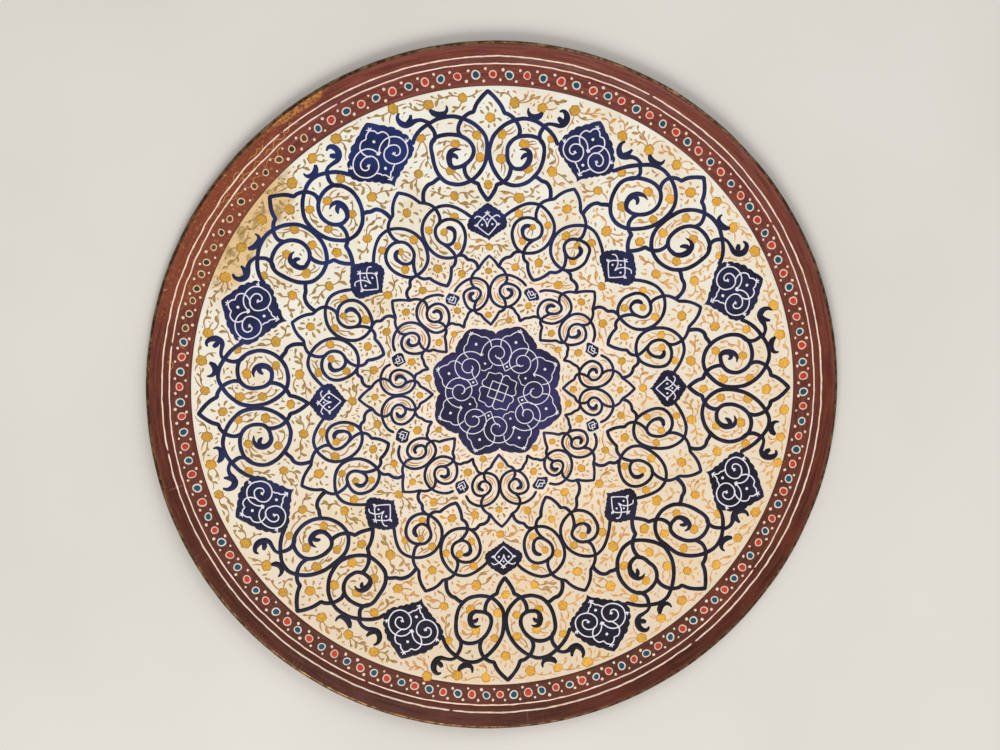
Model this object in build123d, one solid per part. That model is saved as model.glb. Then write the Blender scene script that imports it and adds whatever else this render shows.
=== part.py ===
from build123d import *
import math
import os

# A round painted copper tray. The origin is the centre of its underside, and +Z points up out
# of the painted side. The driving dimensions are in millimetres and degrees.

OUTER_R = 150.0        # over the rolled edge
SHEET = 0.7            # copper sheet
FLAT_R = 139.0         # where the floor ends and the rim begins to rise
BEND_R = 8.0           # floor-to-rim bend, on the painted side
RIM_SLOPE = 42.0       # rise of the rim from the floor
WIRE_R = 0.8           # stiffening wire inside the rolled edge
WIRE_GAP = 0.05        # clearance between the wire and the sheet rolled round it
ROLL_END = -145.0      # where the rolled sheet ends, as an angle about the wire
CREST = 88.0           # where the paint stops on the rolled edge, as an angle about the wire

GROUND_PAINT = 0.25    # the cream and maroon ground coats
LINE_PAINT = 0.12      # decoration laid over the ground coats

CREAM_R = 131.1        # edge of the cream ground, where the maroon border begins
CREAM_LINES = {"inner_cream_line": 140.4, "outer_cream_line": 143.4}
CREAM_LINE_WIDTH = 0.55

BEADS = 129            # beads round the border, red and blue in turn
BEAD_ROW_R = 135.7
BEAD_R = 1.25          # coloured centre
BEAD_RING_R = 1.95      # pale ring
BEAD_GAP = 0.03        # bare ground between a ring and its centre
DOT_ROWS_R = (133.2, 138.1)
DOT_R = 0.6
DOT_SKEW = 0.12        # how far the two dots lean apart, as part of the bead spacing

SPOKES = 8             # the pattern repeats this many times
PATTERN_TURN = 2.0     # the whole pattern is painted slightly turned
ROSETTE_NOTCH_R = 25.3
ROSETTE_LOBE_R = 28.2
ROSETTE_SHOULDER = 10.0    # angle from a notch to the shoulder of its lobe
OUTER_MEDALLION_R = 112.3
MIDDLE_MEDALLION_R = 75.0
INNER_MEDALLION_R = 45.0
MIDDLE_MEDALLION_SCALE = 0.6
INNER_MEDALLION_SCALE = 0.26

# One half of the outer medallion's outline, from its outward tip to its inward tip, and the
# bulge of the scallop that ends at each point. The inward tip is drawn out, so its bulge is
# negative.
MEDALLION_HALF = [
    (0.0, 14.4, 0.0),
    (4.6, 11.0, 0.4),
    (8.8, 7.6, 0.8),
    (11.8, 3.6, 0.8),
    (13.9, -0.8, 0.8),
    (11.6, -5.6, 0.9),
    (7.6, -8.2, 0.7),
    (3.6, -10.4, 0.6),
    (0.0, -14.4, -0.6),
]

# The palmettes, one on each spoke for the outer and inner ones and between spokes for the middle
# ones. Half of each is listed, as strokes whose points are (across the spoke, along the spoke).
# The long stroke starts at the medallion beside it and ends as a spiral.
OUTER_WIDTH = 1.92
MIDDLE_WIDTH = 1.58
INNER_WIDTH = 1.36
WEDGE_GAP = 0.1        # degrees left clear between neighbouring inner palmettes
OUTER_LOOP = [
    (28.5, 107.6), (26.8, 111.2), (24.9, 114.2), (22.0, 117.3), (18.6, 119.9), (14.4, 120.9),
    (10.4, 119.7), (6.6, 117.3), (3.6, 114.2), (1.6, 110.8), (0.7, 106.8), (0.5, 103.3),
    (0.9, 99.5), (2.0, 96.6), (4.0, 93.9), (6.7, 91.8), (10.2, 90.8), (13.6, 90.8),
    (17.1, 91.8), (20.0, 94.0), (22.3, 97.2), (23.5, 101.2), (23.4, 105.4), (22.2, 108.9),
    (20.2, 111.4), (17.2, 112.8), (14.2, 113.0), (11.3, 112.0), (8.8, 109.6), (7.2, 106.2),
    (6.9, 103.0), (7.5, 100.0), (9.2, 97.7), (11.6, 96.6), (14.4, 97.0),
]
OUTER_STROKES = [
    [(0.0, 129.1), (2.6, 126.9), (4.8, 124.4), (6.1, 121.7)],
    [(6.1, 121.7), (7.8, 121.4), (9.6, 120.3), (11.0, 118.7), (11.9, 116.4), (12.0, 114.2),
     (11.2, 111.8)],
    [(9.0, 98.2), (9.3, 95.8), (8.5, 93.4), (6.8, 91.8), (5.3, 91.1), (3.9, 90.7)],
    [(3.9, 90.7), (3.3, 88.9), (1.9, 86.8), (0.0, 84.8)],
    [(22.8, 117.2), (21.3, 115.4), (20.5, 113.2), (20.9, 110.6), (22.4, 108.4)],
    [(19.6, 93.9), (21.3, 93.5), (23.1, 92.2)],
    [(23.1, 92.2), (25.2, 91.4), (26.6, 89.3), (26.8, 86.4)],
]
# The outer spiral ends in a claw with a lobe inside it, and a bird-like leaf sits on the loop.
OUTER_CLAW = [(11.6, 96.6), (14.4, 97.0), (16.7, 99.3), (17.5, 102.4), (16.6, 105.0),
              (14.6, 106.0), (12.2, 105.5)]
OUTER_CLAW_WIDTHS = [1.9, 2.1, 2.5, 2.9, 2.5, 1.7, 0.5]
OUTER_LOBE = [(17.0, 103.0), (15.4, 103.2), (14.0, 102.0), (13.4, 100.8)]
OUTER_LOBE_WIDTHS = [2.0, 2.2, 1.9, 0.9]
BIRD = [(16.0, 125.0), (15.9, 123.5), (16.8, 122.1), (18.7, 121.4), (20.4, 121.8), (21.9, 123.1)]
BIRD_WIDTHS = [0.7, 1.6, 2.4, 2.9, 2.7, 1.4]
# A hook curls off the palmette's clockwise side and a pair of horns off the other.
HOOK = [(22.0, 117.3), (24.4, 117.8), (26.8, 117.1), (29.0, 116.3), (31.1, 117.0), (32.4, 119.1),
        (32.2, 121.3), (30.9, 122.7), (29.2, 122.6)]
HOOK_WIDTHS = [1.7, 1.6, 1.7, 2.1, 2.9, 3.1, 2.7, 2.0, 0.8]
HOOK_BUD = [(30.6, 117.6), (29.6, 118.6), (28.6, 120.3)]
HOOK_BUD_WIDTHS = [1.6, 2.6, 1.5]
HORNS = [(-22.0, 117.6), (-24.6, 118.4), (-26.8, 117.7), (-28.6, 116.2), (-30.7, 115.5),
         (-32.7, 116.6), (-33.6, 118.7), (-33.0, 120.7)]
HORNS_WIDTHS = [1.7, 1.7, 1.9, 2.6, 3.1, 2.7, 1.9, 1.0]
HORNS_BUD = [(-29.4, 116.4), (-28.6, 118.2), (-28.4, 120.3)]
HORNS_BUD_WIDTHS = [2.3, 2.0, 1.1]
MIDDLE_LOOP = [
    (22.7, 74.7), (22.1, 75.8), (20.9, 78.0), (18.7, 80.9), (16.0, 83.1), (13.2, 84.0), (10.5, 84.0),
    (7.5, 83.0), (4.4, 80.9), (2.1, 78.0), (0.8, 74.7), (0.4, 71.4), (0.8, 68.6), (2.1, 65.9),
    (4.3, 63.9), (7.0, 62.7), (9.9, 62.3), (12.7, 63.1), (15.4, 65.2), (17.3, 68.1),
    (17.9, 71.4), (17.3, 74.3), (15.7, 76.5), (13.2, 77.7), (10.4, 77.6), (7.9, 76.3),
    (6.5, 74.2), (6.1, 71.4), (7.0, 69.0), (8.8, 67.5), (11.0, 67.6), (12.9, 69.1),
    (13.9, 71.3), (13.4, 73.2), (12.0, 74.2),
]
MIDDLE_STROKES = [
    [(0.0, 96.8), (2.6, 94.8), (4.7, 92.2), (6.3, 89.0)],
    [(6.3, 89.0), (8.3, 87.7), (10.0, 86.0), (11.0, 84.0), (11.2, 81.2), (10.7, 78.9),
     (9.4, 76.9)],
    [(7.3, 68.6), (8.4, 66.2), (8.9, 63.4), (8.3, 61.4), (7.0, 59.9), (5.0, 59.2)],
    [(5.0, 59.2), (4.0, 57.1), (2.2, 54.7), (0.0, 52.9)],
    [(10.6, 62.2), (12.4, 61.2), (13.4, 59.0)],
    [(13.4, 59.0), (15.5, 57.6), (16.6, 55.6), (16.5, 53.3)],
]
INNER_LOOP = [
    (15.3, 45.8), (14.2, 48.1), (12.2, 50.0), (9.6, 51.2), (6.7, 51.3), (3.9, 50.0), (1.6, 47.5),
    (0.45, 44.5), (0.45, 41.5), (1.3, 39.0), (3.0, 37.3), (5.7, 36.3), (8.7, 36.9), (11.0, 38.9),
    (12.1, 41.5), (11.8, 44.0), (10.5, 45.8), (8.2, 46.6), (6.0, 45.8), (4.6, 43.8), (4.7, 41.7),
    (6.0, 40.4), (7.8, 40.5), (9.0, 41.8), (8.9, 43.4), (7.6, 44.1),
]
INNER_STROKES = [
    [(0.0, 60.8), (2.1, 59.0), (3.7, 57.2), (4.8, 55.5)],
    [(4.8, 55.5), (6.7, 54.3), (8.0, 52.4), (8.5, 50.2), (8.1, 48.2), (7.0, 46.5)],
    [(5.5, 41.0), (6.4, 38.8), (6.5, 36.6), (5.6, 35.1), (3.8, 34.3)],
    [(3.8, 34.3), (2.5, 32.2), (0.0, 29.4)],
    [(7.6, 36.5), (9.5, 35.5), (10.5, 33.7)],
    [(10.5, 33.7), (11.7, 32.2), (12.35, 29.9)],
]

# The ochre flowers, as (across, along, radius): those on a spoke, and those that stand in pairs
# to each side of it.
SPOKE_FLOWERS = [(0, 120.0, 2.0), (0, 91.2, 1.9), (0, 64.0, 1.7), (0, 53.8, 1.5), (0, 34.4, 1.4)]
SPOKE_PAIRS = [
    (5.2, 112.0, 1.9), (4.2, 100.0, 1.9), (14.8, 108.3, 1.9), (16.5, 96.3, 1.9),
    (25.2, 110.0, 1.8), (28.0, 96.0, 2.0), (10.5, 126.9, 2.1), (22.5, 125.2, 2.1),
    (35.8, 122.2, 2.1), (13.8, 86.3, 2.0), (12.4, 54.6, 1.7),
]
BETWEEN_FLOWERS = [(0, 87.4, 1.9), (0, 61.0, 1.7), (0, 38.9, 1.6)]
BETWEEN_PAIRS = [(17.0, 78.0, 1.7), (4.3, 76.2, 1.7), (10.2, 73.8, 1.5), (12.0, 66.2, 1.6)]
PETALS = 5
PETAL_DEPTH = 0.12     # as part of a flower's radius

# Worked out from the dimensions above.
ROLL_R = WIRE_R + WIRE_GAP + SHEET
BEND_CENTRE = (FLAT_R, SHEET + BEND_R)
WIRE_X = OUTER_R - ROLL_R
SLOPE_START = (
    FLAT_R + BEND_R * math.sin(math.radians(RIM_SLOPE)),
    SHEET + BEND_R * (1 - math.cos(math.radians(RIM_SLOPE))),
)
SLOPE_END_X = WIRE_X - ROLL_R * math.sin(math.radians(RIM_SLOPE))
SLOPE_END_Z = SLOPE_START[1] + (SLOPE_END_X - SLOPE_START[0]) * math.tan(math.radians(RIM_SLOPE))
WIRE_CENTRE = (WIRE_X, SLOPE_END_Z - ROLL_R * math.cos(math.radians(RIM_SLOPE)))
FLOOR_TOP = SHEET + GROUND_PAINT


def polar(radius, degrees):
    """A point in the floor's plane, from its radius and its angle from +X."""
    return (radius * math.cos(math.radians(degrees)), radius * math.sin(math.radians(degrees)))


def skin(start_r, lift, roll_to):
    """The edges of a surface that runs `lift` above the pan's painted side: along the floor from
    start_r, up the rim and round the rolled edge to the angle roll_to."""
    bend = CenterArc(BEND_CENTRE, BEND_R - lift, -90, RIM_SLOPE)
    roll_from = 90 + RIM_SLOPE
    roll = CenterArc(WIRE_CENTRE, ROLL_R + lift, roll_from, roll_to - roll_from)
    floor = Line((start_r, SHEET + lift), bend @ 0)
    slope = Line(bend @ 1, roll @ 0)
    return [floor, bend, slope, roll]


def sheet_between(start_r, low, high, roll_to):
    """A solid of revolution between two skins."""
    lower = skin(start_r, low, roll_to)
    upper = skin(start_r, high, roll_to)
    inner_end = Line(lower[0] @ 0, upper[0] @ 0)
    rolled_end = Line(lower[3] @ 1, upper[3] @ 1)
    section = make_face(lower + upper + [inner_end, rolled_end])
    return revolve(Plane.XZ * section, Axis.Z)


def rim_line(radius):
    """A painted line laid on the maroon coat, on the floor-to-rim bend."""
    ground_r = BEND_R - GROUND_PAINT
    middle = math.degrees(math.asin((radius - FLAT_R) / ground_r))
    spread = math.degrees(CREAM_LINE_WIDTH / ground_r)
    start = middle - spread / 2 - 90
    lower = CenterArc(BEND_CENTRE, ground_r, start, spread)
    upper = CenterArc(BEND_CENTRE, ground_r - LINE_PAINT, start, spread)
    ends = [Line(lower @ 0, upper @ 0), Line(lower @ 1, upper @ 1)]
    section = make_face([lower, upper] + ends)
    return revolve(Plane.XZ * section, Axis.Z)


def laid_on_floor(face):
    """A flat shape as a coat of decoration on the ground coat."""
    return Pos(0, 0, FLOOR_TOP) * extrude(face, LINE_PAINT)


def placed(shape, radius, degrees):
    """A shape drawn about the origin with its tip along +Y, moved out along a spoke."""
    x, y = polar(radius, degrees)
    return Pos(x, y, 0) * Rot(0, 0, degrees - 90) * shape


def medallion(scale):
    """A flat scalloped medallion, drawn about the origin with its outward tip along +Y."""
    half = [(x * scale, y * scale, bulge * scale) for x, y, bulge in MEDALLION_HALF]
    edges = []
    for (x0, y0, _), (x1, y1, bulge) in zip(half, half[1:]):
        edges.append(scallop((x0, y0), (x1, y1), bulge))
        edges.append(scallop((-x1, y1), (-x0, y0), bulge))
    return make_face(edges)


def scallop(start, end, bulge):
    """An arc from start to end, clockwise round the shape, that bulges outwards by `bulge`."""
    run_x, run_y = end[0] - start[0], end[1] - start[1]
    chord = math.hypot(run_x, run_y)
    middle_x = (start[0] + end[0]) / 2 - bulge * run_y / chord
    middle_y = (start[1] + end[1]) / 2 + bulge * run_x / chord
    return ThreePointArc(start, (middle_x, middle_y), end)


def rosette():
    """The centre rosette, with a notch on each spoke and a lobe between them."""
    pitch = 360 / SPOKES
    edges = []
    for spoke in range(SPOKES):
        notch = PATTERN_TURN + pitch * spoke
        corners = [
            polar(ROSETTE_NOTCH_R, notch),
            polar(ROSETTE_LOBE_R, notch + ROSETTE_SHOULDER),
            polar(ROSETTE_LOBE_R, notch + pitch - ROSETTE_SHOULDER),
            polar(ROSETTE_NOTCH_R, notch + pitch),
        ]
        for start, end, bulge in zip(corners, corners[1:], (0.5, 1.0, 0.5)):
            edges.append(scallop(end, start, bulge))
    return laid_on_floor(make_face(edges))


def medallion_ring(radius, scale, offset):
    """One medallion on each spoke, or between spokes where offset is half a pitch."""
    pattern = laid_on_floor(medallion(scale))
    angles = [PATTERN_TURN + offset + 360 / SPOKES * spoke for spoke in range(SPOKES)]
    return [placed(pattern, radius, angle) for angle in angles]


def width_at(widths, share):
    """The width part of the way along a stroke, from a list of widths at even spacing."""
    place = share * (len(widths) - 1)
    before = min(int(place), len(widths) - 2)
    return widths[before] + (place - before) * (widths[before + 1] - widths[before])


def stroke(points, widths, mirror=False):
    """The outline of a brush stroke along a curve through the points."""
    side = -1 if mirror else 1
    path = Spline([(side * x, y) for x, y in points])
    steps = 2 * len(points)
    left = []
    right = []
    for step in range(steps + 1):
        at = path @ (step / steps)
        way = path % (step / steps)
        reach = width_at(widths, step / steps) / 2
        left.append((at.X - reach * way.Y, at.Y + reach * way.X))
        right.append((at.X + reach * way.Y, at.Y - reach * way.X))
    ends = [Line(left[-1], right[-1]), Line(right[0], left[0])]
    return make_face([Spline(left), Spline(right)] + ends)


def palmette(loop, strokes, width, extras=(), one_sided=()):
    """A flat palmette with its tip along +Y: both halves of its even strokes, the tapered ones
    on both sides, and the tapered ones on one side only."""
    faces = []
    for mirror in (False, True):
        for points in [loop] + strokes:
            faces.append(stroke(points, [width, width], mirror))
        for points, widths in extras:
            faces.append(stroke(points, widths, mirror))
    for points, widths in one_sided:
        faces.append(stroke(points, widths))
    return Sketch() + faces


def turned(sketch, degrees):
    return Rot(0, 0, degrees) * sketch


def neighbours(sketch):
    """A flat shape turned to stand half a pitch to each side."""
    return [turned(sketch, -180 / SPOKES), turned(sketch, 180 / SPOKES)]


def round_the_spokes(sketch, offset):
    """The same flat shape on every spoke as coats of decoration."""
    solids = []
    for solid in laid_on_floor(sketch).solids():
        for spoke in range(SPOKES):
            solids.append(turned(solid, PATTERN_TURN + offset + 360 / SPOKES * spoke - 90))
    return solids


def flower(radius):
    """A blunt-petalled flower, drawn about the origin."""
    edge = []
    for step in range(4 * PETALS):
        swell = 1 + PETAL_DEPTH * math.cos(2 * math.pi * step / 4)
        edge.append(polar(radius * swell, 360 * step / (4 * PETALS)))
    return make_face(Spline(edge, periodic=True))


def flowers(singles, pairs, lines, offset):
    """Flowers at their places about each spoke, or between spokes, less the navy lines that cross
    them."""
    spots = list(singles)
    for x, y, radius in pairs:
        spots.append((x, y, radius))
        spots.append((-x, y, radius))
    solids = []
    for x, y, radius in spots:
        shape = Pos(x, y, 0) * flower(radius / (1 + PETAL_DEPTH)) - lines
        solids += round_the_spokes(shape, offset)
    return solids


def bead_row(shape, beads):
    """Copies of a bead shape at the numbered places round the border."""
    return [placed(shape, BEAD_ROW_R, 360 / BEADS * bead) for bead in beads]


def bead_dots():
    """The pair of dots between neighbouring beads, one on each side of the row."""
    dot = laid_on_floor(Circle(DOT_R))
    dots = []
    for bead in range(BEADS):
        for radius, skew in zip(DOT_ROWS_R, (-DOT_SKEW, DOT_SKEW)):
            dots.append(placed(dot, radius, 360 / BEADS * (bead + 0.5 + skew)))
    return dots


def write(name, *solids):
    """One STEP file for each named piece."""
    export_step(Compound(children=list(solids)), f"parts/{name}.step")


os.makedirs("parts", exist_ok=True)

write("copper_pan", sheet_between(0, -SHEET, 0, ROLL_END))
wire_section = Pos(WIRE_CENTRE[0], WIRE_CENTRE[1]) * Circle(WIRE_R)
write("rim_wire", revolve(Plane.XZ * wire_section, Axis.Z))

write("cream_ground", Pos(0, 0, SHEET) * extrude(Circle(CREAM_R), GROUND_PAINT))
write("maroon_border", sheet_between(CREAM_R, 0, GROUND_PAINT, CREST))
for line_name, line_r in CREAM_LINES.items():
    write(line_name, rim_line(line_r))

bead_ring = laid_on_floor(Circle(BEAD_RING_R) - Circle(BEAD_R + BEAD_GAP))
bead_centre = laid_on_floor(Circle(BEAD_R))
write("bead_rings", *bead_row(bead_ring, range(BEADS)))
write("red_beads", *bead_row(bead_centre, range(0, BEADS, 2)))
write("blue_beads", *bead_row(bead_centre, range(1, BEADS, 2)))
write("bead_dots", *bead_dots())

half_pitch = 180 / SPOKES
write("centre_rosette", rosette())
write("outer_medallions", *medallion_ring(OUTER_MEDALLION_R, 1.0, half_pitch))
write("middle_medallions", *medallion_ring(MIDDLE_MEDALLION_R, MIDDLE_MEDALLION_SCALE, 0))
write("inner_medallions", *medallion_ring(INNER_MEDALLION_R, INNER_MEDALLION_SCALE, half_pitch))

outer_medallion = Pos(0, OUTER_MEDALLION_R, 0) * medallion(1.0)
middle_medallion = Pos(0, MIDDLE_MEDALLION_R, 0) * medallion(MIDDLE_MEDALLION_SCALE)
inner_medallion = Pos(0, INNER_MEDALLION_R, 0) * medallion(INNER_MEDALLION_SCALE)

outer_extras = [(OUTER_CLAW, OUTER_CLAW_WIDTHS), (OUTER_LOBE, OUTER_LOBE_WIDTHS), (BIRD, BIRD_WIDTHS)]
outer_curls = [
    (HOOK, HOOK_WIDTHS),
    (HOOK_BUD, HOOK_BUD_WIDTHS),
    (HORNS, HORNS_WIDTHS),
    (HORNS_BUD, HORNS_BUD_WIDTHS),
]
outer = palmette(OUTER_LOOP, OUTER_STROKES, OUTER_WIDTH, outer_extras, outer_curls)
outer -= neighbours(outer_medallion) + [middle_medallion]
write("outer_palmettes", *round_the_spokes(outer, 0))

middle = palmette(MIDDLE_LOOP, MIDDLE_STROKES, MIDDLE_WIDTH)
middle -= neighbours(middle_medallion) + neighbours(outer)
write("middle_palmettes", *round_the_spokes(middle, half_pitch))

inner = palmette(INNER_LOOP, INNER_STROKES, INNER_WIDTH)
inner -= neighbours(inner_medallion) + neighbours(middle)
half_wedge = CREAM_R * math.tan(math.radians(half_pitch - WEDGE_GAP))
inner &= make_face(Polyline((0, 0), (half_wedge, CREAM_R), (-half_wedge, CREAM_R), close=True))
write("inner_palmettes", *round_the_spokes(inner, 0))

on_spokes = flowers(SPOKE_FLOWERS, SPOKE_PAIRS, [outer, inner] + neighbours(middle), 0)
lines_between = [middle] + neighbours(outer) + neighbours(inner)
between_spokes = flowers(BETWEEN_FLOWERS, BETWEEN_PAIRS, lines_between, half_pitch)
write("ochre_flowers", *on_spokes, *between_spokes)
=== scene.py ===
import math
import random
from functools import partial

import bmesh
import bpy
import numpy as np
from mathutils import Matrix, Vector, kdtree, noise


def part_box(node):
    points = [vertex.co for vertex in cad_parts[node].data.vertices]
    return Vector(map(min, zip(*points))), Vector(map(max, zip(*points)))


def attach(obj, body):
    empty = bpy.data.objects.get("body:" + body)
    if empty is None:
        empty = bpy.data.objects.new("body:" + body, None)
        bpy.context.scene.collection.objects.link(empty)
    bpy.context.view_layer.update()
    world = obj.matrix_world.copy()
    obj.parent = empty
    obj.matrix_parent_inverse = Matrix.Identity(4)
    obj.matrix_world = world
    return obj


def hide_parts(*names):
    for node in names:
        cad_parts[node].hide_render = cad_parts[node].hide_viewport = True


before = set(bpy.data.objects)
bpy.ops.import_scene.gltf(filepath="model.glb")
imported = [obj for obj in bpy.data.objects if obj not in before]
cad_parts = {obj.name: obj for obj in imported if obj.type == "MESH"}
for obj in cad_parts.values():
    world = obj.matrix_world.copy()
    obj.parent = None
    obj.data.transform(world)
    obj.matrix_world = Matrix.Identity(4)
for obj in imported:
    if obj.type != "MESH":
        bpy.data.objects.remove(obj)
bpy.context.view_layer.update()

# A painted copper tray. Drawing is done in millimetres in the tray's plane and turned into metres
# where a mesh is made. Colours are given as they look on a screen, from 0 to 255.

MM = 0.001
random.seed(7)


# ---------------------------------------------------------------- sizes, in millimetres

def in_mm(value):
    return value / MM


OUTER_R = in_mm(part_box("copper_pan")[1].x)
CREAM_R = in_mm(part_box("cream_ground")[1].x)
SHEET = in_mm(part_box("cream_ground")[0].z)
FLOOR_TOP = in_mm(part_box("cream_ground")[1].z)
COAT = FLOOR_TOP - SHEET

FLAT_R = 139.0            # where the floor ends and the rim begins to rise
BEND_R = 8.0              # floor-to-rim bend, on the painted side
RIM_SLOPE = math.radians(42)
ROLL_R = 1.55             # rolled edge, over the sheet
ROLL_END = math.radians(-145)
CREST = math.radians(88)  # where the maroon coat stops on the rolled edge

SPOKES = 8
PITCH = 360 / SPOKES
PATTERN_TURN = 2.0        # the whole pattern is painted slightly turned

NAVY_LIFT = 0.10          # how thick each kind of brushwork lies
WHITE_LIFT = 0.08
OCHRE_LIFT = 0.05
SINK = 0.03               # how far brushwork reaches down into the coat under it

BEADS = 129
BEAD_ROW_R = 135.8
BEAD_R = 1.3
BEAD_RING_R = 1.62        # to the middle of a bead's pale ring
BEAD_RING_WIDTH = 0.62
DOT_ROWS = ((133.3, 0.2), (138.1, -0.2))    # radius, and how far its dots are out of step


# ---------------------------------------------------------------- shape of the tray

def floor_wave(x, y):
    """How far the hand-raised floor stands above or below flat, dying away at its edge."""
    r = np.hypot(x, y)
    fade = np.clip((CREAM_R - r) / 12, 0, 1)
    wave = np.sin(x / 17 + 1.3) * np.cos(y / 21 - 0.4) + 0.6 * np.sin((x + y) / 11 + 2.1)
    return 0.03 * fade * wave


def coat_z(x, y):
    """Height of the ground coats' painted surface."""
    r = np.hypot(x, y)
    ground_r = BEND_R - COAT
    bend_end = FLAT_R + ground_r * math.sin(RIM_SLOPE)
    over = np.clip(r - FLAT_R, 0, bend_end - FLAT_R)
    bend = SHEET + BEND_R - np.sqrt(ground_r ** 2 - over ** 2)
    slope = np.clip(r - bend_end, 0, None) * math.tan(RIM_SLOPE)
    return bend + slope + floor_wave(x, y)


def roll_centre():
    """The middle of the rolled edge, as a radius and a height."""
    slope_r = FLAT_R + BEND_R * math.sin(RIM_SLOPE)
    slope_z = SHEET + BEND_R * (1 - math.cos(RIM_SLOPE))
    centre_r = OUTER_R - ROLL_R
    end_r = centre_r - ROLL_R * math.sin(RIM_SLOPE)
    end_z = slope_z + (end_r - slope_r) * math.tan(RIM_SLOPE)
    return centre_r, end_z - ROLL_R * math.cos(RIM_SLOPE)


def arc(centre, radius, start, end, count):
    """Points on an arc in the plane of a section."""
    angles = np.linspace(start, end, count)
    return [(centre[0] + radius * math.cos(a), centre[1] + radius * math.sin(a)) for a in angles]


def skin(start_r, lift, roll_to, floor_steps):
    """A section of the surface that lies `lift` above the pan's painted side, from start_r along
    the floor, up the rim and round the rolled edge to the angle roll_to."""
    floor = [(r, SHEET + lift) for r in np.linspace(start_r, FLAT_R, floor_steps)[:-1]]
    bend = arc((FLAT_R, SHEET + BEND_R), BEND_R - lift, -math.pi / 2, RIM_SLOPE - math.pi / 2, 9)
    roll = arc(roll_centre(), ROLL_R + lift, math.pi / 2 + RIM_SLOPE, roll_to, 18)
    return floor + bend + roll


# ---------------------------------------------------------------- meshes

def srgb(*rgb):
    """A colour as it looks on a screen, as the renderer's linear values."""
    parts = [c / 255 for c in rgb]
    return tuple(c / 12.92 if c <= 0.04045 else ((c + 0.055) / 1.055) ** 2.4 for c in parts)


def add_object(name, data):
    made = bpy.data.objects.new(name, data)
    bpy.context.scene.collection.objects.link(made)
    return made


def polar(radius, angle):
    """Points at these distances and directions, in radians, from the middle."""
    return np.column_stack([radius * np.cos(angle), radius * np.sin(angle)])


def uneven_round(angle, waves, seed):
    """Slow random values round the tray, from about -1 to 1."""
    return noise.noise(Vector((waves * math.cos(angle), waves * math.sin(angle), seed)))


class Coat:
    """One coat of paint or sheet of metal, gathered piece by piece and then made into a mesh."""

    def __init__(self):
        self.points = []
        self.faces = []
        self.tints = []

    def add(self, points, faces, tint=(1, 1, 1)):
        first = len(self.points)
        self.points.extend(map(tuple, points))
        self.faces.extend(tuple(first + i for i in face) for face in faces)
        self.tints.extend([tuple(tint) + (1.0,)] * len(points))

    def make(self, name, material, slot, *nodes):
        """The finished object, which rides on the tray and stands for the CAD nodes named."""
        mesh = bpy.data.meshes.new(name)
        mesh.from_pydata([(x * MM, y * MM, z * MM) for x, y, z in self.points], [], self.faces)
        mesh.shade_smooth()
        tint = mesh.color_attributes.new("tint", "FLOAT_COLOR", "POINT")
        tint.data.foreach_set("color", np.array(self.tints, np.float32).ravel())
        mesh.materials.append(material)
        piece = add_object(name, mesh)
        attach(piece, "root")
        if nodes:
            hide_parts(*nodes)
        return piece


def lathe(section, steps, wobble):
    """Points and faces of a closed section turned about the tray's axis, each point shifted by
    the wobble. The section's outside is on its left, seen with the axis on the left."""
    points = []
    for step in range(steps):
        a = 2 * math.pi * step / steps
        for i, (r, z) in enumerate(section):
            r, z = wobble(i, r, z, a)
            points.append((r * math.cos(a), r * math.sin(a), z))
    size = len(section)
    faces = []
    for step in range(steps):
        here, there = step * size, (step + 1) % steps * size
        for i in range(size):
            j = (i + 1) % size
            faces.append((here + i, there + i, there + j, here + j))
    return points, faces


def ribbon(path, widths, base, height, profile):
    """A closed strip of paint along a path. The profile gives pairs of a place across the strip,
    from -1 to 1, and a height there from 0 to 1. base is the height of the surface under it."""
    path = np.asarray(path, float)
    along = np.gradient(path, axis=0)
    along /= np.maximum(np.hypot(along[:, 0], along[:, 1]), 1e-9)[:, None]
    right = np.stack([along[:, 1], -along[:, 0]], 1)
    rows = []
    for across, rise in profile:
        xy = path + right * (np.asarray(widths) / 2 * across)[:, None]
        rows.append(np.column_stack([xy, base(xy) + (rise * height if rise else -SINK)]))
    size = len(profile)
    points = np.stack(rows, 1).reshape(-1, 3)
    faces = []
    for i in range(len(path) - 1):
        here, there = i * size, (i + 1) * size
        for k in range(size):
            j = (k + 1) % size
            faces.append((here + k, here + j, there + j, there + k))
    last = (len(path) - 1) * size
    faces.append(tuple(range(size))[::-1])
    faces.append(tuple(last + k for k in range(size)))
    return points, faces


BRUSHED = [(-1, 0), (-0.82, 0.7), (0, 1), (0.82, 0.7), (1, 0)]   # a loaded brush
THIN = [(-1, 0), (-0.8, 0.9), (0.8, 0.9), (1, 0)]                # a fine stroke


def plate(outline, base, height, rings=(0.93, 0.6, 0.3)):
    """A closed flat patch of paint inside an outline that is seen whole from its middle."""
    outline = np.asarray(outline, float)
    middle = outline.mean(axis=0)
    count = len(outline)
    layers = [(outline, -SINK), (middle + (outline - middle) * 0.985, height * 0.6)]
    layers += [(middle + (outline - middle) * ring, height) for ring in rings]
    points = [np.column_stack([xy, base(xy) + rise]) for xy, rise in layers]
    faces = []
    for layer in range(len(layers) - 1):
        for i in range(count):
            j = (i + 1) % count
            here, there = layer * count, (layer + 1) * count
            faces.append((here + i, here + j, there + j, there + i))
    top = (len(layers) - 1) * count
    faces.append(tuple(top + i for i in range(count)))
    faces.append(tuple(range(count))[::-1])
    return np.concatenate(points), faces


# ---------------------------------------------------------------- brushwork

def on_ground(xy):
    return coat_z(xy[:, 0], xy[:, 1])


def on_navy(xy):
    return coat_z(xy[:, 0], xy[:, 1]) + NAVY_LIFT


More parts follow.
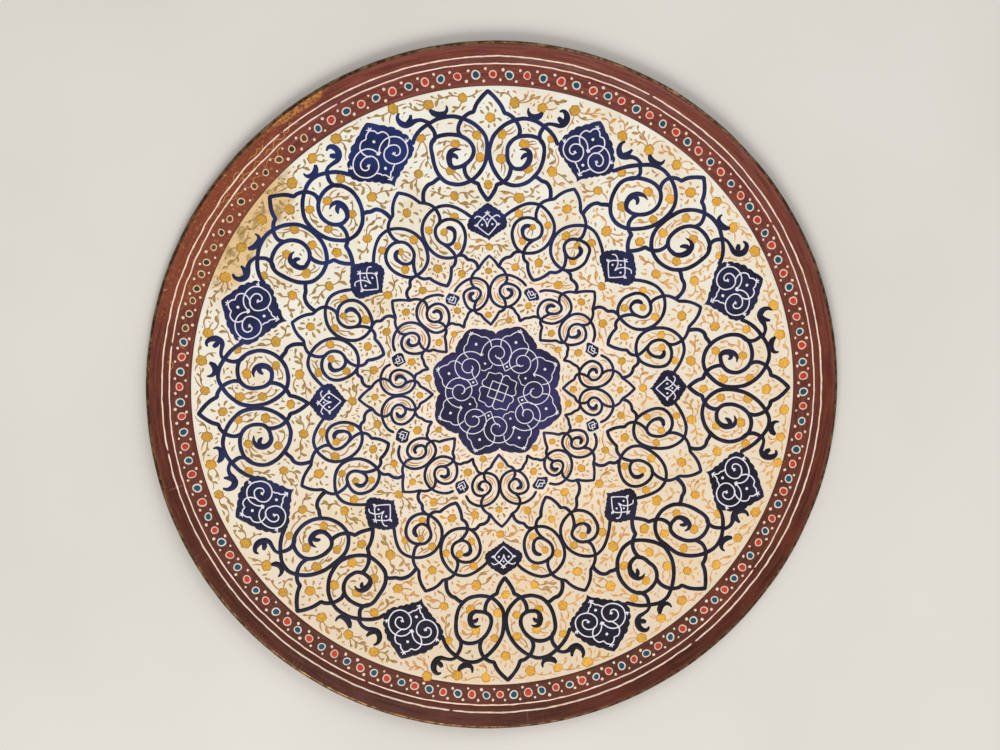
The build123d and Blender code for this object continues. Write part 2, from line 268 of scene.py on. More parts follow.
def smooth(points, per_span=10):
    """A curve through the points, as many close points."""
    p = np.asarray(points, float)
    p = np.vstack([2 * p[0] - p[1], p, 2 * p[-1] - p[-2]])
    t = np.linspace(0, 1, per_span, endpoint=False)[:, None]
    spans = []
    for a, b, c, d in zip(p, p[1:], p[2:], p[3:]):
        spans.append(0.5 * (2 * b + (c - a) * t + (2 * a - 5 * b + 4 * c - d) * t ** 2
                            + (3 * b - a - 3 * c + d) * t ** 3))
    return np.vstack(spans + [p[-2:-1]])


def respaced(path, step):
    """The same path at even spacing, with each point's share of the way along it."""
    lengths = np.concatenate([[0], np.cumsum(np.hypot(*np.diff(path, axis=0).T))])
    count = max(int(lengths[-1] / step), 3)
    even = np.linspace(0, lengths[-1], count + 1)
    xy = [np.interp(even, lengths, path[:, side]) for side in (0, 1)]
    return np.column_stack(xy), even / lengths[-1], lengths[-1]


def run_on(path, reach):
    """The same path carried a little further at both ends, so that strokes join."""
    path = np.asarray(path, float)
    ends = []
    for tip, inner in ((path[0], path[1]), (path[-1], path[-2])):
        way = tip - inner
        ends.append(tip + way * reach / max(np.hypot(*way), 1e-9))
    return np.vstack([ends[0], path, ends[1]])


def hand_noise(path, size, seed):
    """Slow random values along a path, from about -1 to 1."""
    return np.array([noise.noise(Vector((x / size, y / size, seed))) for x, y in path])


def brush(coat, points, width, base=on_ground, height=NAVY_LIFT, tint=(1, 1, 1), step=0.6,
          profile=BRUSHED, shaky=0.10):
    """One brush stroke. width is a number, or one width for each point given."""
    if np.ndim(width) == 0:
        points = run_on(points, 0.4 * width)
    path, share, length = respaced(points, step)
    if np.ndim(width):
        widths = np.interp(share, np.linspace(0, 1, len(width)), width)
    else:
        end = np.minimum(share, 1 - share) * length / (width / 2)
        rounding = np.sqrt(np.clip(1 - (1 - np.clip(end, 0, 1)) ** 2, 0.03, 1))
        widths = width * rounding
    seed = random.uniform(0, 99)
    wide = widths * (1 + shaky * hand_noise(path, 3.0, seed))
    side = 0.5 * shaky * hand_noise(path, 4.0, seed + 9)
    path = path + np.column_stack([side, side[::-1]])
    coat.add(*ribbon(path, wide, base, height, profile), tint=tint)


# ---------------------------------------------------------------- where the painter put things

# Ideal radius and offset from the spoke of each marked place, then where it really lies on each
# of the eight spokes in turn, counter-clockwise from +X. All the places were read one by one.
HALF = PITCH / 2
MARKS = [
    (129.0, 0, [(129, 0.3), (90, 92), (-3.5, 128.8), (-96.3, 84.0),
                (-128, -8.5), (-87, -96), (5.2, -129), (93, -89.2)]),
    (104.0, 0, [(102.8, 0.3), (73, 74), (-3.5, 104), (-78, 69.5),
                (-104.5, -6), (-69, -74), (3.8, -102), (75, -69.5)]),
    (84.8, 0, [(84.5, 1), (57.2, 60.5), (-3.5, 82.5), (-61.5, 55.5),
               (-81.2, -4.5), (-53.8, -60), (3.8, -82.8), (60, -57)]),
    (112.3, HALF, [(103.9, 42.6), (40.2, 103.3), (-48.8, 102.2), (-104.2, 35.2),
                   (-100.2, -47.7), (-37.2, -105), (46.2, -104.2), (105.6, -41)]),
    (96.8, HALF, [(89.5, 36), (33.8, 87.3), (-42, 85.7), (-87.7, 30.5),
                  (-84.5, -40.5), (-31, -88.2), (39.5, -89.2), (90.5, -36.5)]),
    (71.4, HALF, [(66.6, 26.6), (24.3, 66), (-30.5, 64), (-66, 23),
                  (-65, -29.5), (-24, -66), (29.2, -67), (65, -25)]),
    (52.9, HALF, [(48.8, 20), (16, 48), (-21, 45.7), (-48.5, 16.5),
                  (-46.7, -22.5), (-17.5, -49), (21.8, -47), (48.8, -18.2)]),
    (75.0, 0, [(76, 0.8), (52.2, 52.8), (-3.5, 73.5), (-55.5, 48.8),
               (-72.6, -3.9), (-49.2, -52.7), (3.2, -74), (54.6, -50.8)]),
    (60.8, 0, [(60.7, 0.5), (42.8, 43), (-3, 58.8), (-44.8, 39.5),
               (-59.5, -3), (-40.5, -43.8), (2.5, -60), (43, -39.8)]),
    (42.5, 0, [(42, 1), (30, 31.5), (-3, 43.2), (-31, 28),
               (-42.3, -1.5), (-28.5, -30.5), (1.5, -41.7), (31.2, -27.2)]),
    (29.4, 0, [(29.2, 0.9), (19.2, 22), (-2.2, 29), (-21.5, 17.2),
               (-27.5, -1.2), (-18, -20.5), (1.2, -28), (20.8, -18.5)]),
    (45.0, HALF, [(42.2, 17.8), (15.3, 42.2), (-19.2, 40), (-42.2, 13.8),
                  (-40.8, -19), (-15.3, -41.7), (19.5, -41.5), (42.5, -15.7)]),
    (0.0, 0, [(0.6, 0.6)]),
]
# The same for places on the loops: the ideal place (across the spoke, along the spoke) on the
# clockwise loop, then the eight real ones on the clockwise loops and on the other loops.
LOOP_MARKS = [
    (0, (14.4, 120.9),
     [(120.6, -13.6), (94.2, 74.4), (12.5, 117.2), (-79.8, 90.1),
      (-119.5, 6.8), (-90.9, -77.9), (-9.2, -120.5), (76.0, -93.0)],
     [(120.1, 14.3), (72.0, 95.6), (-19.0, 118.1), (-98.5, 67.4),
      (-118.0, -21.5), (-69.2, -96.0), (18.9, -119.3), (97.2, -70.7)]),
    (0, (23.5, 103.3),
     [(103.7, -23.4), (89.2, 56.6), (20.5, 102.1), (-61.6, 86.3),
      (-102.3, 18.5), (-85.1, -58.9), (-17.6, -102.5), (58.3, -88.1)],
     [(102.6, 23.7), (53.6, 89.6), (-27.1, 101.9), (-91.1, 50.5),
      (-100.0, -31.1), (-51.9, -89.7), (25.9, -102.8), (89.5, -54.5)]),
    (0, (11.9, 90.8),
     [(90.8, -11.1), (70.9, 55.9), (8.3, 88.9), (-59.6, 68.5),
      (-89.8, 6.5), (-68.1, -57.9), (-7.4, -90.9), (56.2, -70.5)],
     [(91.0, 12.0), (52.5, 72.4), (-15.9, 89.4), (-74.9, 51.4),
      (-89.0, -16.9), (-51.9, -75.3), (15.7, -91.1), (73.7, -53.7)]),
    (0, (27.9, 108.8),
     [(109.6, -27.3), (97.9, 55.9), (26.0, 107.4), (-63.1, 93.6),
      (-109.7, 21.5), (-92.5, -60.1), (-23.4, -110.1), (59.2, -95.5)],
     [(108.9, 29.9), (51.4, 95.2), (-35.3, 107.9), (-100.1, 48.5),
      (-106.3, -36.2), (-49.9, -99.0), (32.4, -107.5), (98.9, -53.2)]),
    (0, (14.2, 113.0),
     [(112.5, -13.8), (89.2, 69.4), (12.5, 109.9), (-74.3, 85.1),
      (-111.0, 7.8), (-85.0, -71.8), (-9.3, -111.8), (70.1, -87.0)],
     [(112.5, 13.9), (69.0, 89.2), (-18.6, 110.4), (-93.3, 63.1),
      (-110.7, -20.5), (-65.1, -90.8), (18.6, -111.6), (91.0, -66.0)]),
    (0, (6.9, 103.0),
     [(102.3, -6.9), (76.9, 68.1), (4.9, 102.7), (-72.8, 73.7),
      (-102.5, 2.5), (-73.2, -69.2), (-2.1, -101.5), (67.7, -77.3)],
     [(103.8, 7.3), (67.9, 77.7), (-9.5, 102.7), (-81.6, 63.4),
      (-102.7, -13.5), (-63.3, -80.1), (10.9, -101.8), (78.7, -64.7)]),
    (0, (11.6, 96.6),
     [(97.1, -11.3), (75.7, 60.9), (8.5, 95.9), (-65.1, 73.4),
      (-96.7, 6.8), (-73.2, -62.7), (-7.1, -98.0), (61.0, -75.3)],
     [(98.8, 12.5), (58.2, 77.2), (-16.1, 96.7), (-80.6, 56.3),
      (-97.8, -17.5), (-56.9, -80.7), (15.7, -98.1), (78.4, -58.8)]),
    (0, (17.6, 102.6),
     [(102.6, -16.8), (84.2, 60.3), (14.7, 101.1), (-65.9, 80.7),
      (-101.3, 12.0), (-80.1, -62.5), (-11.6, -101.5), (61.0, -83.3)],
     [(102.1, 16.2), (58.5, 84.1), (-20.1, 100.7), (-86.5, 55.2),
      (-101.3, -23.3), (-56.9, -86.3), (19.5, -101.8), (84.3, -58.5)]),
    (HALF, (11.9, 84.0),
     [(81.7, 20.7), (39.6, 70.9), (-25.3, 79.4), (-72.9, 37.9),
      (-78.2, -24.2), (-37.2, -72.7), (23.7, -81.7), (74.4, -41.1)],
     [(72.6, 41.8), (17.8, 80.7), (-46.9, 69.4), (-80.4, 15.9),
      (-69.1, -44.9), (-17.4, -80.9), (44.6, -72.8), (83.1, -20.4)]),
    (HALF, (17.9, 71.4),
     [(73.9, 10.4), (39.8, 58.7), (-14.1, 70.8), (-60.3, 39.7),
      (-70.6, -14.1), (-39.1, -59.1), (13.3, -72.4), (58.7, -42.3)],
     [(58.0, 41.2), (7.6, 71.1), (-46.6, 55.5), (-71.4, 5.9),
      (-56.3, -43.7), (-7.5, -71.8), (43.7, -57.9), (73.4, -8.7)]),
    (HALF, (9.9, 62.3),
     [(62.1, 14.0), (29.9, 52.3), (-16.4, 58.8), (-53.6, 28.6),
      (-58.7, -16.6), (-30.3, -53.9), (16.4, -60.7), (54.5, -30.6)],
     [(53.3, 32.6), (10.8, 60.3), (-35.2, 49.8), (-60.0, 10.4),
      (-51.2, -34.2), (-11.4, -60.9), (33.9, -53.6), (61.4, -13.3)]),
    (HALF, (22.1, 75.8),
     [(78.0, 7.6), (46.3, 59.8), (-11.3, 75.8), (-62.6, 44.4),
      (-75.4, -12.2), (-44.6, -61.0), (10.6, -78.2), (61.4, -48.2)],
     [(59.8, 48.0), (3.7, 75.7), (-52.7, 56.7), (-75.7, 3.7),
      (-57.4, -49.2), (-4.2, -76.1), (50.3, -58.7), (79.1, -6.7)]),
    (HALF, (11.8, 77.7),
     [(76.3, 18.2), (37.4, 64.6), (-22.5, 73.8), (-67.9, 35.8),
      (-72.8, -21.4), (-35.8, -66.6), (21.2, -75.8), (68.6, -38.3)],
     [(66.4, 39.4), (15.7, 74.6), (-43.8, 64.2), (-74.8, 14.3),
      (-63.7, -41.2), (-15.4, -75.1), (42.2, -66.2), (76.8, -17.6)]),
    (HALF, (6.1, 71.4),
     [(68.8, 21.2), (29.5, 63.2), (-25.2, 65.9), (-64.4, 28.3),
      (-66.9, -23.9), (-28.5, -63.5), (24.4, -68.4), (63.8, -31.5)],
     [(64.6, 31.7), (19.3, 67.1), (-35.5, 60.6), (-67.1, 17.4),
      (-62.3, -34.4), (-18.9, -67.9), (33.4, -64.3), (67.8, -20.0)]),
    (HALF, (9.9, 67.4),
     [(66.6, 16.8), (32.3, 57.5), (-19.6, 63.8), (-58.6, 30.5),
      (-63.4, -18.4), (-31.5, -58.4), (18.1, -65.5), (59.2, -33.3)],
     [(59.1, 34.8), (13.4, 65.8), (-37.4, 55.6), (-65.4, 12.1),
      (-56.6, -36.7), (-13.6, -66.3), (36.4, -59.6), (67.0, -15.7)]),
    (0, (8.2, 51.4),
     [(51.4, -7.1), (41.0, 30.2), (4.2, 50.5), (-31.9, 39.6),
      (-50.0, 5.5), (-40.1, -31.8), (-6.2, -50.6), (30.8, -39.0)],
     [(51.2, 8.4), (28.8, 42.0), (-10.6, 49.0), (-42.5, 27.2),
      (-49.5, -10.3), (-28.2, -42.6), (10.3, -49.8), (42.2, -27.3)]),
    (0, (12.1, 41.5),
     [(42.0, -10.9), (38.0, 21.5), (10.5, 42.2), (-21.7, 36.6),
      (-41.8, 9.7), (-36.9, -22.0), (-10.4, -41.4), (23.0, -36.2)],
     [(41.6, 12.8), (19.5, 37.9), (-13.8, 40.4), (-39.0, 17.5),
      (-40.3, -14.1), (-18.0, -38.7), (14.1, -41.3), (38.7, -18.4)]),
    (0, (5.7, 36.3),
     [(36.5, -4.8), (29.0, 21.5), (3.2, 36.5), (-22.3, 27.0),
      (-35.1, 4.1), (-27.8, -22.3), (-4.3, -36.0), (22.8, -28.2)],
     [(36.2, 6.6), (20.1, 30.3), (-8.6, 35.2), (-30.0, 18.6),
      (-35.1, -7.0), (-19.2, -29.8), (7.3, -35.0), (30.2, -19.6)]),
    (0, (15.3, 45.8),
     [(45.9, -14.2), (42.2, 21.2), (13.0, 45.8), (-22.8, 41.6),
      (-45.9, 12.0), (-42.0, -23.7), (-13.1, -46.1), (23.6, -40.9)],
     [(45.9, 15.2), (19.0, 43.2), (-17.9, 43.4), (-43.8, 18.0),
      (-44.7, -17.5), (-18.8, -43.8), (17.5, -44.6), (43.1, -19.2)]),
    (0, (8.2, 46.6),
     [(46.4, -6.9), (38.3, 27.6), (5.0, 46.7), (-28.8, 36.6),
      (-46.0, 5.6), (-37.5, -28.5), (-6.3, -46.2), (28.2, -36.2)],
     [(46.4, 8.3), (26.5, 38.5), (-10.3, 44.8), (-40.0, 24.1),
      (-45.5, -10.1), (-25.6, -39.3), (10.0, -45.5), (39.2, -24.6)]),
    (0, (4.6, 42.8),
     [(42.5, -3.4), (32.7, 27.9), (1.8, 43.3), (-28.8, 31.0),
      (-42.2, 2.2), (-31.3, -28.0), (-2.3, -42.1), (28.6, -31.5)],
     [(42.8, 4.4), (27.6, 34.2), (-6.6, 42.3), (-34.0, 24.7),
      (-42.3, -5.6), (-25.9, -33.7), (5.6, -41.9), (33.5, -25.0)]),
    (0, (7.0, 40.4),
     [(40.5, -6.3), (31.9, 23.5), (4.5, 40.4), (-24.0, 31.4),
      (-39.1, 5.0), (-31.7, -23.7), (-5.8, -39.8), (24.4, -32.1)],
     [(40.5, 6.8), (22.4, 34.3), (-9.7, 39.2), (-34.3, 20.8),
      (-39.4, -8.2), (-21.5, -33.7), (8.8, -38.8), (34.2, -21.4)]),
]
SLACK = 4.0        # how loosely the pattern is pulled to the marks


def turned(points, degrees):
    """Points drawn with the spoke along +Y, turned so that it lies at the angle from +X."""
    a = math.radians(degrees - 90)
    p = np.asarray(points, float)
    return np.column_stack([p[:, 0] * math.cos(a) - p[:, 1] * math.sin(a),
                            p[:, 0] * math.sin(a) + p[:, 1] * math.cos(a)])


def bending(distance):
    """The thin plate's response at a distance."""
    d = np.maximum(distance, 1e-6)
    return d ** 2 * np.log(d)


def pull_to_marks():
    """A smooth map, as of a bent thin plate, from the ideal pattern to the painter's."""
    ideal, real = [], []
    for radius, offset, places in MARKS:
        for spoke, place in enumerate(places):
            ideal.append(turned([(0, radius)], PATTERN_TURN + offset + PITCH * spoke)[0])
            real.append(place)
    for offset, (across, along), clockwise, other in LOOP_MARKS:
        for side, places in ((1, clockwise), (-1, other)):
            for spoke, place in enumerate(places):
                ideal.append(turned([(side * across, along)],
                                    PATTERN_TURN + offset + PITCH * spoke)[0])
                real.append(place)
    ideal, real = np.array(ideal), np.array(real, float)
    count = len(ideal)
    gaps = np.linalg.norm(ideal[:, None] - ideal[None], axis=2)
    left = np.zeros((count + 3, count + 3))
    left[:count, :count] = bending(gaps) + SLACK * np.eye(count)
    left[:count, count:] = np.column_stack([np.ones(count), ideal])
    left[count:, :count] = left[:count, count:].T
    weights = np.linalg.solve(left, np.vstack([real - ideal, np.zeros((3, 2))]))

    def pulled(points):
        p = np.asarray(points, float)
        gaps = np.linalg.norm(p[:, None] - ideal[None], axis=2)
        return p + bending(gaps) @ weights[:count] + weights[count] + p @ weights[count + 1:]

    return pulled


painted = pull_to_marks()


def mirrored(points, mirror):
    """The points as an array, flipped to the spoke's other side if mirror is true."""
    return np.array(points, float) * (-1 if mirror else 1, 1)


def place(points, spoke, offset=0.0, mirror=False):
    """Points of a motif drawn on an ideal spoke, where the painter put them."""
    return painted(turned(mirrored(points, mirror), PATTERN_TURN + offset + PITCH * spoke))


# ---------------------------------------------------------------- motifs, drawn on a spoke

# Each palmette's strokes, as (across the spoke, along the spoke). The long one runs from the
# medallion beside it over the top of the loop, down to the spoke, and inwards as a spiral.
OUTER_LOOP = [
    (28.5, 107.6), (27.9, 108.8), (26.8, 111.2), (24.9, 114.2), (22.0, 117.3), (18.6, 119.9),
    (14.4, 120.9), (10.4, 119.7), (6.6, 117.3), (3.6, 114.2), (1.6, 110.8), (0.7, 106.8),
    (0.5, 103.3), (0.9, 99.5), (2.0, 96.6), (4.0, 93.9), (6.7, 91.8), (10.2, 90.8), (13.6, 90.8),
    (17.1, 91.8), (20.0, 94.0), (22.3, 97.2), (23.5, 101.2), (23.4, 105.4), (22.2, 108.9),
    (20.2, 111.4), (17.2, 112.8), (14.2, 113.0), (11.3, 112.0), (8.8, 109.6), (7.2, 106.2),
    (6.9, 103.0), (7.5, 100.0), (9.2, 97.7), (11.6, 96.6), (14.4, 97.0),
]
OUTER_STROKES = [
    [(0.0, 129.1), (2.6, 126.9), (4.8, 124.4), (6.1, 121.7)],
    [(6.1, 121.7), (7.8, 121.4), (9.6, 120.3), (11.0, 118.7), (11.9, 116.4), (12.0, 114.2),
     (11.2, 111.8)],
    [(9.0, 98.2), (9.3, 95.8), (8.5, 93.4), (6.8, 91.8), (5.3, 91.1), (3.9, 90.7)],
    [(3.9, 90.7), (3.3, 88.9), (1.9, 86.8), (0.0, 84.8)],
    [(22.8, 117.2), (21.3, 115.4), (20.5, 113.2), (20.9, 110.6), (22.4, 108.4)],
    [(19.6, 93.9), (21.3, 93.5), (23.1, 92.2)],
    [(23.1, 92.2), (25.2, 91.4), (26.6, 89.3), (26.9, 86.6), (26.6, 84.5)],
]
# Leaves, as points and the width at each. A loop ends in a claw, which swells and then tapers,
# with a lobe inside it, and a bud like a bird sits on the loop's shoulder.
OUTER_LEAVES = [
    ([(11.6, 96.6), (14.4, 97.0), (16.7, 99.3), (17.5, 102.4), (16.6, 105.0), (14.6, 106.0),
      (12.2, 105.5)], [1.9, 2.1, 2.5, 2.9, 2.5, 1.7, 0.5]),
    ([(17.0, 103.0), (15.4, 103.2), (14.0, 102.0), (13.4, 100.8)], [2.0, 2.2, 1.9, 0.9]),
    ([(16.0, 125.0), (15.9, 123.5), (16.8, 122.1), (18.7, 121.4), (20.4, 121.8), (21.9, 123.1)],
     [0.7, 1.6, 2.4, 2.9, 2.7, 1.4]),
]
# The leaf that curls off each side isn't a mirror image: it is a hook and its bud on the
# clockwise side, and a pair of horns on the other.
OUTER_CURLS = [
    ([(22.0, 117.3), (24.4, 117.8), (26.8, 117.1), (29.0, 116.3), (31.1, 117.0), (32.4, 119.1),
      (32.2, 121.3), (30.9, 122.7), (29.2, 122.6)], [1.7, 1.6, 1.7, 2.1, 2.9, 3.1, 2.7, 2.0, 0.8]),
    ([(30.6, 117.6), (29.6, 118.6), (28.6, 120.3)], [1.6, 2.6, 1.5]),
    ([(-22.0, 117.6), (-24.6, 118.4), (-26.8, 117.7), (-28.6, 116.2), (-30.7, 115.5),
      (-32.7, 116.6), (-33.6, 118.7), (-33.0, 120.7)], [1.7, 1.7, 1.9, 2.6, 3.1, 2.7, 1.9, 1.0]),
    ([(-29.4, 116.4), (-28.6, 118.2), (-28.4, 120.3)], [2.3, 2.0, 1.1]),
]

MIDDLE_LOOP = [
    (22.7, 74.7), (22.1, 75.8), (20.9, 78.0), (18.7, 80.9), (16.0, 83.1), (13.2, 84.0),
    (10.5, 84.0), (7.5, 83.0), (4.4, 80.9), (2.1, 78.0), (0.8, 74.7), (0.4, 71.4), (0.8, 68.6),
    (2.1, 65.9), (4.3, 63.9), (7.0, 62.7), (9.9, 62.3), (12.7, 63.1), (15.4, 65.2), (17.3, 68.1),
    (17.9, 71.4), (17.3, 74.3), (15.7, 76.5), (13.2, 77.7), (10.4, 77.6), (7.9, 76.3),
    (6.5, 74.2), (6.1, 71.4), (7.0, 69.0), (8.8, 67.5), (11.0, 67.6), (12.9, 69.1), (13.9, 71.3),
    (13.4, 73.2), (12.0, 74.2),
]
MIDDLE_STROKES = [
    [(0.0, 96.8), (2.6, 94.8), (4.7, 92.2), (6.3, 89.0)],
    [(6.3, 89.0), (8.3, 87.7), (10.0, 86.0), (11.0, 84.0), (11.2, 81.2), (10.7, 78.9),
     (9.4, 76.9)],
    [(7.3, 68.6), (8.4, 66.2), (8.9, 63.4), (8.3, 61.4), (7.0, 59.9), (5.0, 59.2)],
    [(5.0, 59.2), (4.0, 57.1), (2.2, 54.7), (0.0, 52.9)],
    [(10.6, 62.2), (12.4, 61.2), (13.4, 59.0)],
    [(13.4, 59.0), (15.5, 57.6), (16.6, 55.6), (16.5, 53.3)],
]
INNER_LOOP = [
    (15.3, 45.8), (14.2, 48.1), (12.2, 50.0), (9.6, 51.2), (6.7, 51.3), (3.9, 50.0), (1.6, 47.5),
    (0.45, 44.5), (0.45, 41.5), (1.3, 39.0), (3.0, 37.3), (5.7, 36.3), (8.7, 36.9), (11.0, 38.9),
    (12.1, 41.5), (11.8, 44.0), (10.5, 45.8), (8.2, 46.6), (6.0, 45.8), (4.6, 43.8), (4.7, 41.7),
    (6.0, 40.4), (7.8, 40.5), (9.0, 41.8), (8.9, 43.4), (7.6, 44.1),
]
INNER_ECHOES = [
    [(10.9, 48.2), (8.7, 48.9), (6.3, 48.5), (4.2, 47.0), (2.9, 44.9)],
    [(9.2, 49.9), (6.9, 50.0), (4.8, 49.0), (2.9, 47.2)],
    [(2.2, 42.8), (2.5, 40.7), (3.7, 39.0), (5.7, 38.1), (7.5, 38.6)],
    [(3.5, 42.2), (3.6, 40.8), (4.9, 39.4)],
    [(9.3, 40.1), (10.3, 41.9), (10.1, 43.8), (8.9, 45.0)],
    [(6.4, 44.6), (5.8, 42.9), (6.6, 41.6)],
]
INNER_STROKES = [
    [(0.0, 60.8), (2.1, 59.0), (3.7, 57.2), (4.8, 55.5)],
    [(4.8, 55.5), (6.7, 54.3), (8.0, 52.4), (8.5, 50.2), (8.1, 48.2), (7.0, 46.5)],
    [(5.5, 41.0), (6.4, 38.8), (6.5, 36.6), (5.6, 35.1), (3.8, 34.3)],
    [(3.8, 34.3), (2.5, 32.2), (0.0, 29.4)],
    [(7.6, 36.5), (9.5, 35.5), (10.5, 33.7)],
    [(10.5, 33.7), (11.7, 32.2), (12.35, 29.9)],
]
# Each palmette's offset from the spoke, the width of its lines, its loop and its other strokes.
PALMETTES = {
    "outer": (0.0, 1.92, OUTER_LOOP, OUTER_STROKES),
    "middle": (HALF, 1.58, MIDDLE_LOOP, MIDDLE_STROKES),
    "inner": (0.0, 1.36, INNER_LOOP, INNER_STROKES),
}

# Half of the outer medallion, about its own middle, from its outward tip to its inward tip, with
# the bulge of the scallop that ends at each point.
MEDALLION_HALF = [
    (0.0, 14.4, 0.0), (4.4, 11.2, 0.3), (7.2, 9.0, 0.4), (9.9, 6.6, 0.7), (11.7, 3.9, 0.6),
    (13.3, 0.9, 0.7), (13.6, -2.2, 0.6), (12.3, -4.8, 0.6), (9.4, -6.6, 0.6), (7.0, -8.3, 0.5),
    (4.6, -9.8, 0.4), (2.7, -11.5, 0.4), (0.0, -14.5, -0.4),
]
MEDALLION_FRAME = (13.6, -2.2, 14.4)    # a side corner's place, and how far out the tip is
# Each medallion's offset from the spoke, its middle's radius, and its size by the outer one's.
MEDALLIONS = {
    "outer": (HALF, 112.3, 1.0),
    "middle": (0.0, 75.2, 0.6),
    "inner": (HALF, 45.0, 0.255),
}
# Where each outer and middle medallion's outward tip, inward tip, clockwise corner and other
# corner really lie.
MEDALLION_CORNERS = {
    "outer": [
        [(116.9, 48.4), (90.7, 37.0), (106.9, 30.4), (98.1, 54.7)],
        [(44.9, 116.4), (34.9, 90.2), (49.9, 95.2), (26.9, 105.6)],
        [(-55.3, 115.4), (-43.2, 88.3), (-35.5, 105.8), (-62.2, 92.8)],
        [(-117.7, 40.2), (-89.7, 31.1), (-98.9, 47.4), (-108.1, 21.3)],
        [(-113.2, -53.8), (-87.7, -41.9), (-104.9, -36.4), (-92.3, -60.1)],
        [(-42.0, -118.5), (-32.7, -91.3), (-48.6, -97.8), (-23.6, -108.0)],
        [(52.7, -117.2), (40.1, -91.0), (33.1, -105.6), (58.4, -96.4)],
        [(119.0, -48.3), (92.7, -36.7), (99.1, -53.1), (107.3, -28.3)],
    ],
    "middle": [
        [(83.9, 1.1), (67.2, 0.5), (74.9, -7.6), (74.4, 8.4)],
        [(59.5, 59.5), (47.0, 46.9), (58.5, 46.2), (45.4, 59.0)],
        [(-3.7, 81.5), (-2.9, 65.1), (4.6, 72.2), (-12.3, 71.2)],
        [(-62.3, 55.0), (-48.5, 42.9), (-48.8, 53.9), (-59.8, 41.0)],
        [(-81.0, -4.5), (-64.1, -3.5), (-72.0, 3.9), (-71.7, -12.0)],
        [(-55.6, -59.2), (-44.3, -47.2), (-55.6, -46.7), (-43.2, -58.6)],
        [(3.1, -81.8), (3.2, -66.0), (-4.8, -73.0), (11.5, -72.8)],
        [(61.3, -57.3), (48.5, -45.4), (48.6, -56.8), (60.1, -44.3)],
    ],
}
ROSETTE_CENTRE = np.array([0.7, 0.0])
ROSETTE_REACH = 25.0      # leaves and flowers' stems keep out of this radius
# The rosette's edge from a notch, on a spoke, round a lobe: degrees, radius, and the bulge of the
# scallop that ends there.
ROSETTE_EDGE = [(0, 25.1, 0.4), (6, 26.9, 0.5), (13.5, 28.1, 0.4), (22.5, 29.8, 0.4),
                (31.5, 28.1, 0.5), (39, 26.9, 0.4)]

# The white strokes of half a medallion.
OUTER_WHITE = [
    [(0.0, 0.6), (1.5, 3.3), (4.1, 4.9), (7.4, 4.7), (10.2, 2.7), (11.4, -0.6), (10.5, -3.9),
     (7.8, -6.0), (4.6, -6.0), (2.2, -4.2), (1.5, -1.2), (3.0, 1.3), (5.6, 1.8), (7.8, 0.7),
     (8.4, -1.2), (7.5, -2.8), (6.0, -2.9), (5.4, -1.9)],
    [(0.0, 10.9), (1.7, 9.9), (2.5, 8.4)],
    [(2.5, 8.4), (4.6, 8.2), (6.0, 6.3), (5.9, 4.1), (4.8, 2.3), (3.6, 1.3)],
    [(3.9, -6.1), (2.9, -6.7), (2.3, -7.7)],
    [(2.3, -7.7), (1.2, -8.2), (0.5, -9.4), (0.0, -10.4)],
]
MIDDLE_WHITE = [
    [(0.0, -9.6), (3.5, -6.0), (6.5, -2.3), (6.0, 0.3), (3.3, 3.3), (0.0, 6.5)],
    [(0.0, -3.1), (1.0, 0.5), (3.5, 3.5), (6.8, 5.0), (8.8, 3.6)],
]
INNER_WHITE = [
    [(0.0, -9.0), (7.8, -1.6)], [(7.8, -1.6), (4.7, 1.6), (0.8, -2.7)],
    [(0.0, -2.7), (3.9, 1.6)], [(3.9, 1.6), (0.0, 5.9)], [(4.3, 1.6), (7.8, 5.1)],
]
# Each medallion's white strokes and their width, then fleurs and dots as (across, along, size):
# those on each side, and those down the middle.
MEDALLION_WORK = {
    "outer": (OUTER_WHITE, 0.62, [(12.0, 0.4, 1.2), (5.5, -1.9, 0.9)], [],
              [(0, 11.0, 1.3), (0, 0.6, 1.2), (0, -10.9, 1.4)], [(0, 6.1, 0.66), (0, -5.7, 0.66)]),
    "middle": (MIDDLE_WHITE, 0.55, [(7.6, -2.0, 1.6)], [(3.6, -1.4, 0.46)],
               [(0, 6.7, 2.0)], [(0, 2.6, 0.42)]),
    "inner": (INNER_WHITE, 0.42, [], [], [], []),
}


def scalloped(corners, steps=8):
    """An outline through the corners, each side bulging out by the number given with its end."""
    outline = []
    for (x0, y0, _), (x1, y1, bulge) in zip(corners, corners[1:]):
        out = Vector((y0 - y1, x1 - x0)).normalized() * bulge
        for step in range(steps):
            t = step / steps
            rise = 4 * t * (1 - t)
            outline.append((x0 + (x1 - x0) * t + out.x * rise, y0 + (y1 - y0) * t + out.y * rise))
    return outline


def medallion_outline():
    """Counter-clockwise outline of the outer medallion about its own middle."""
    right = scalloped(MEDALLION_HALF)
    left = [(-x, y) for x, y in right[1:]]
    return right[::-1] + left + [MEDALLION_HALF[-1][:2]]


def in_medallion(name, spoke, points, mirror=False):
    """Points drawn about a medallion's middle, at the outer one's size, put where it lies."""
    p = mirrored(points, mirror)
    offset, radius, scale = MEDALLIONS[name]
    if name not in MEDALLION_CORNERS:
        return place(p * scale + (0, radius), spoke, offset)
    outward, inward, clockwise, other = np.array(MEDALLION_CORNERS[name][spoke])
    middle = (clockwise + other) / 2
    side_x, side_y, tip_y = MEDALLION_FRAME
    across = p[:, :1] / side_x
    along = p[:, 1:] - side_y
    along = np.where(along > 0, along / (tip_y - side_y), along / (tip_y + side_y))
    return (middle + np.abs(across) * np.where(across > 0, clockwise - middle, other - middle)
            + np.abs(along) * np.where(along > 0, outward - middle, inward - middle))


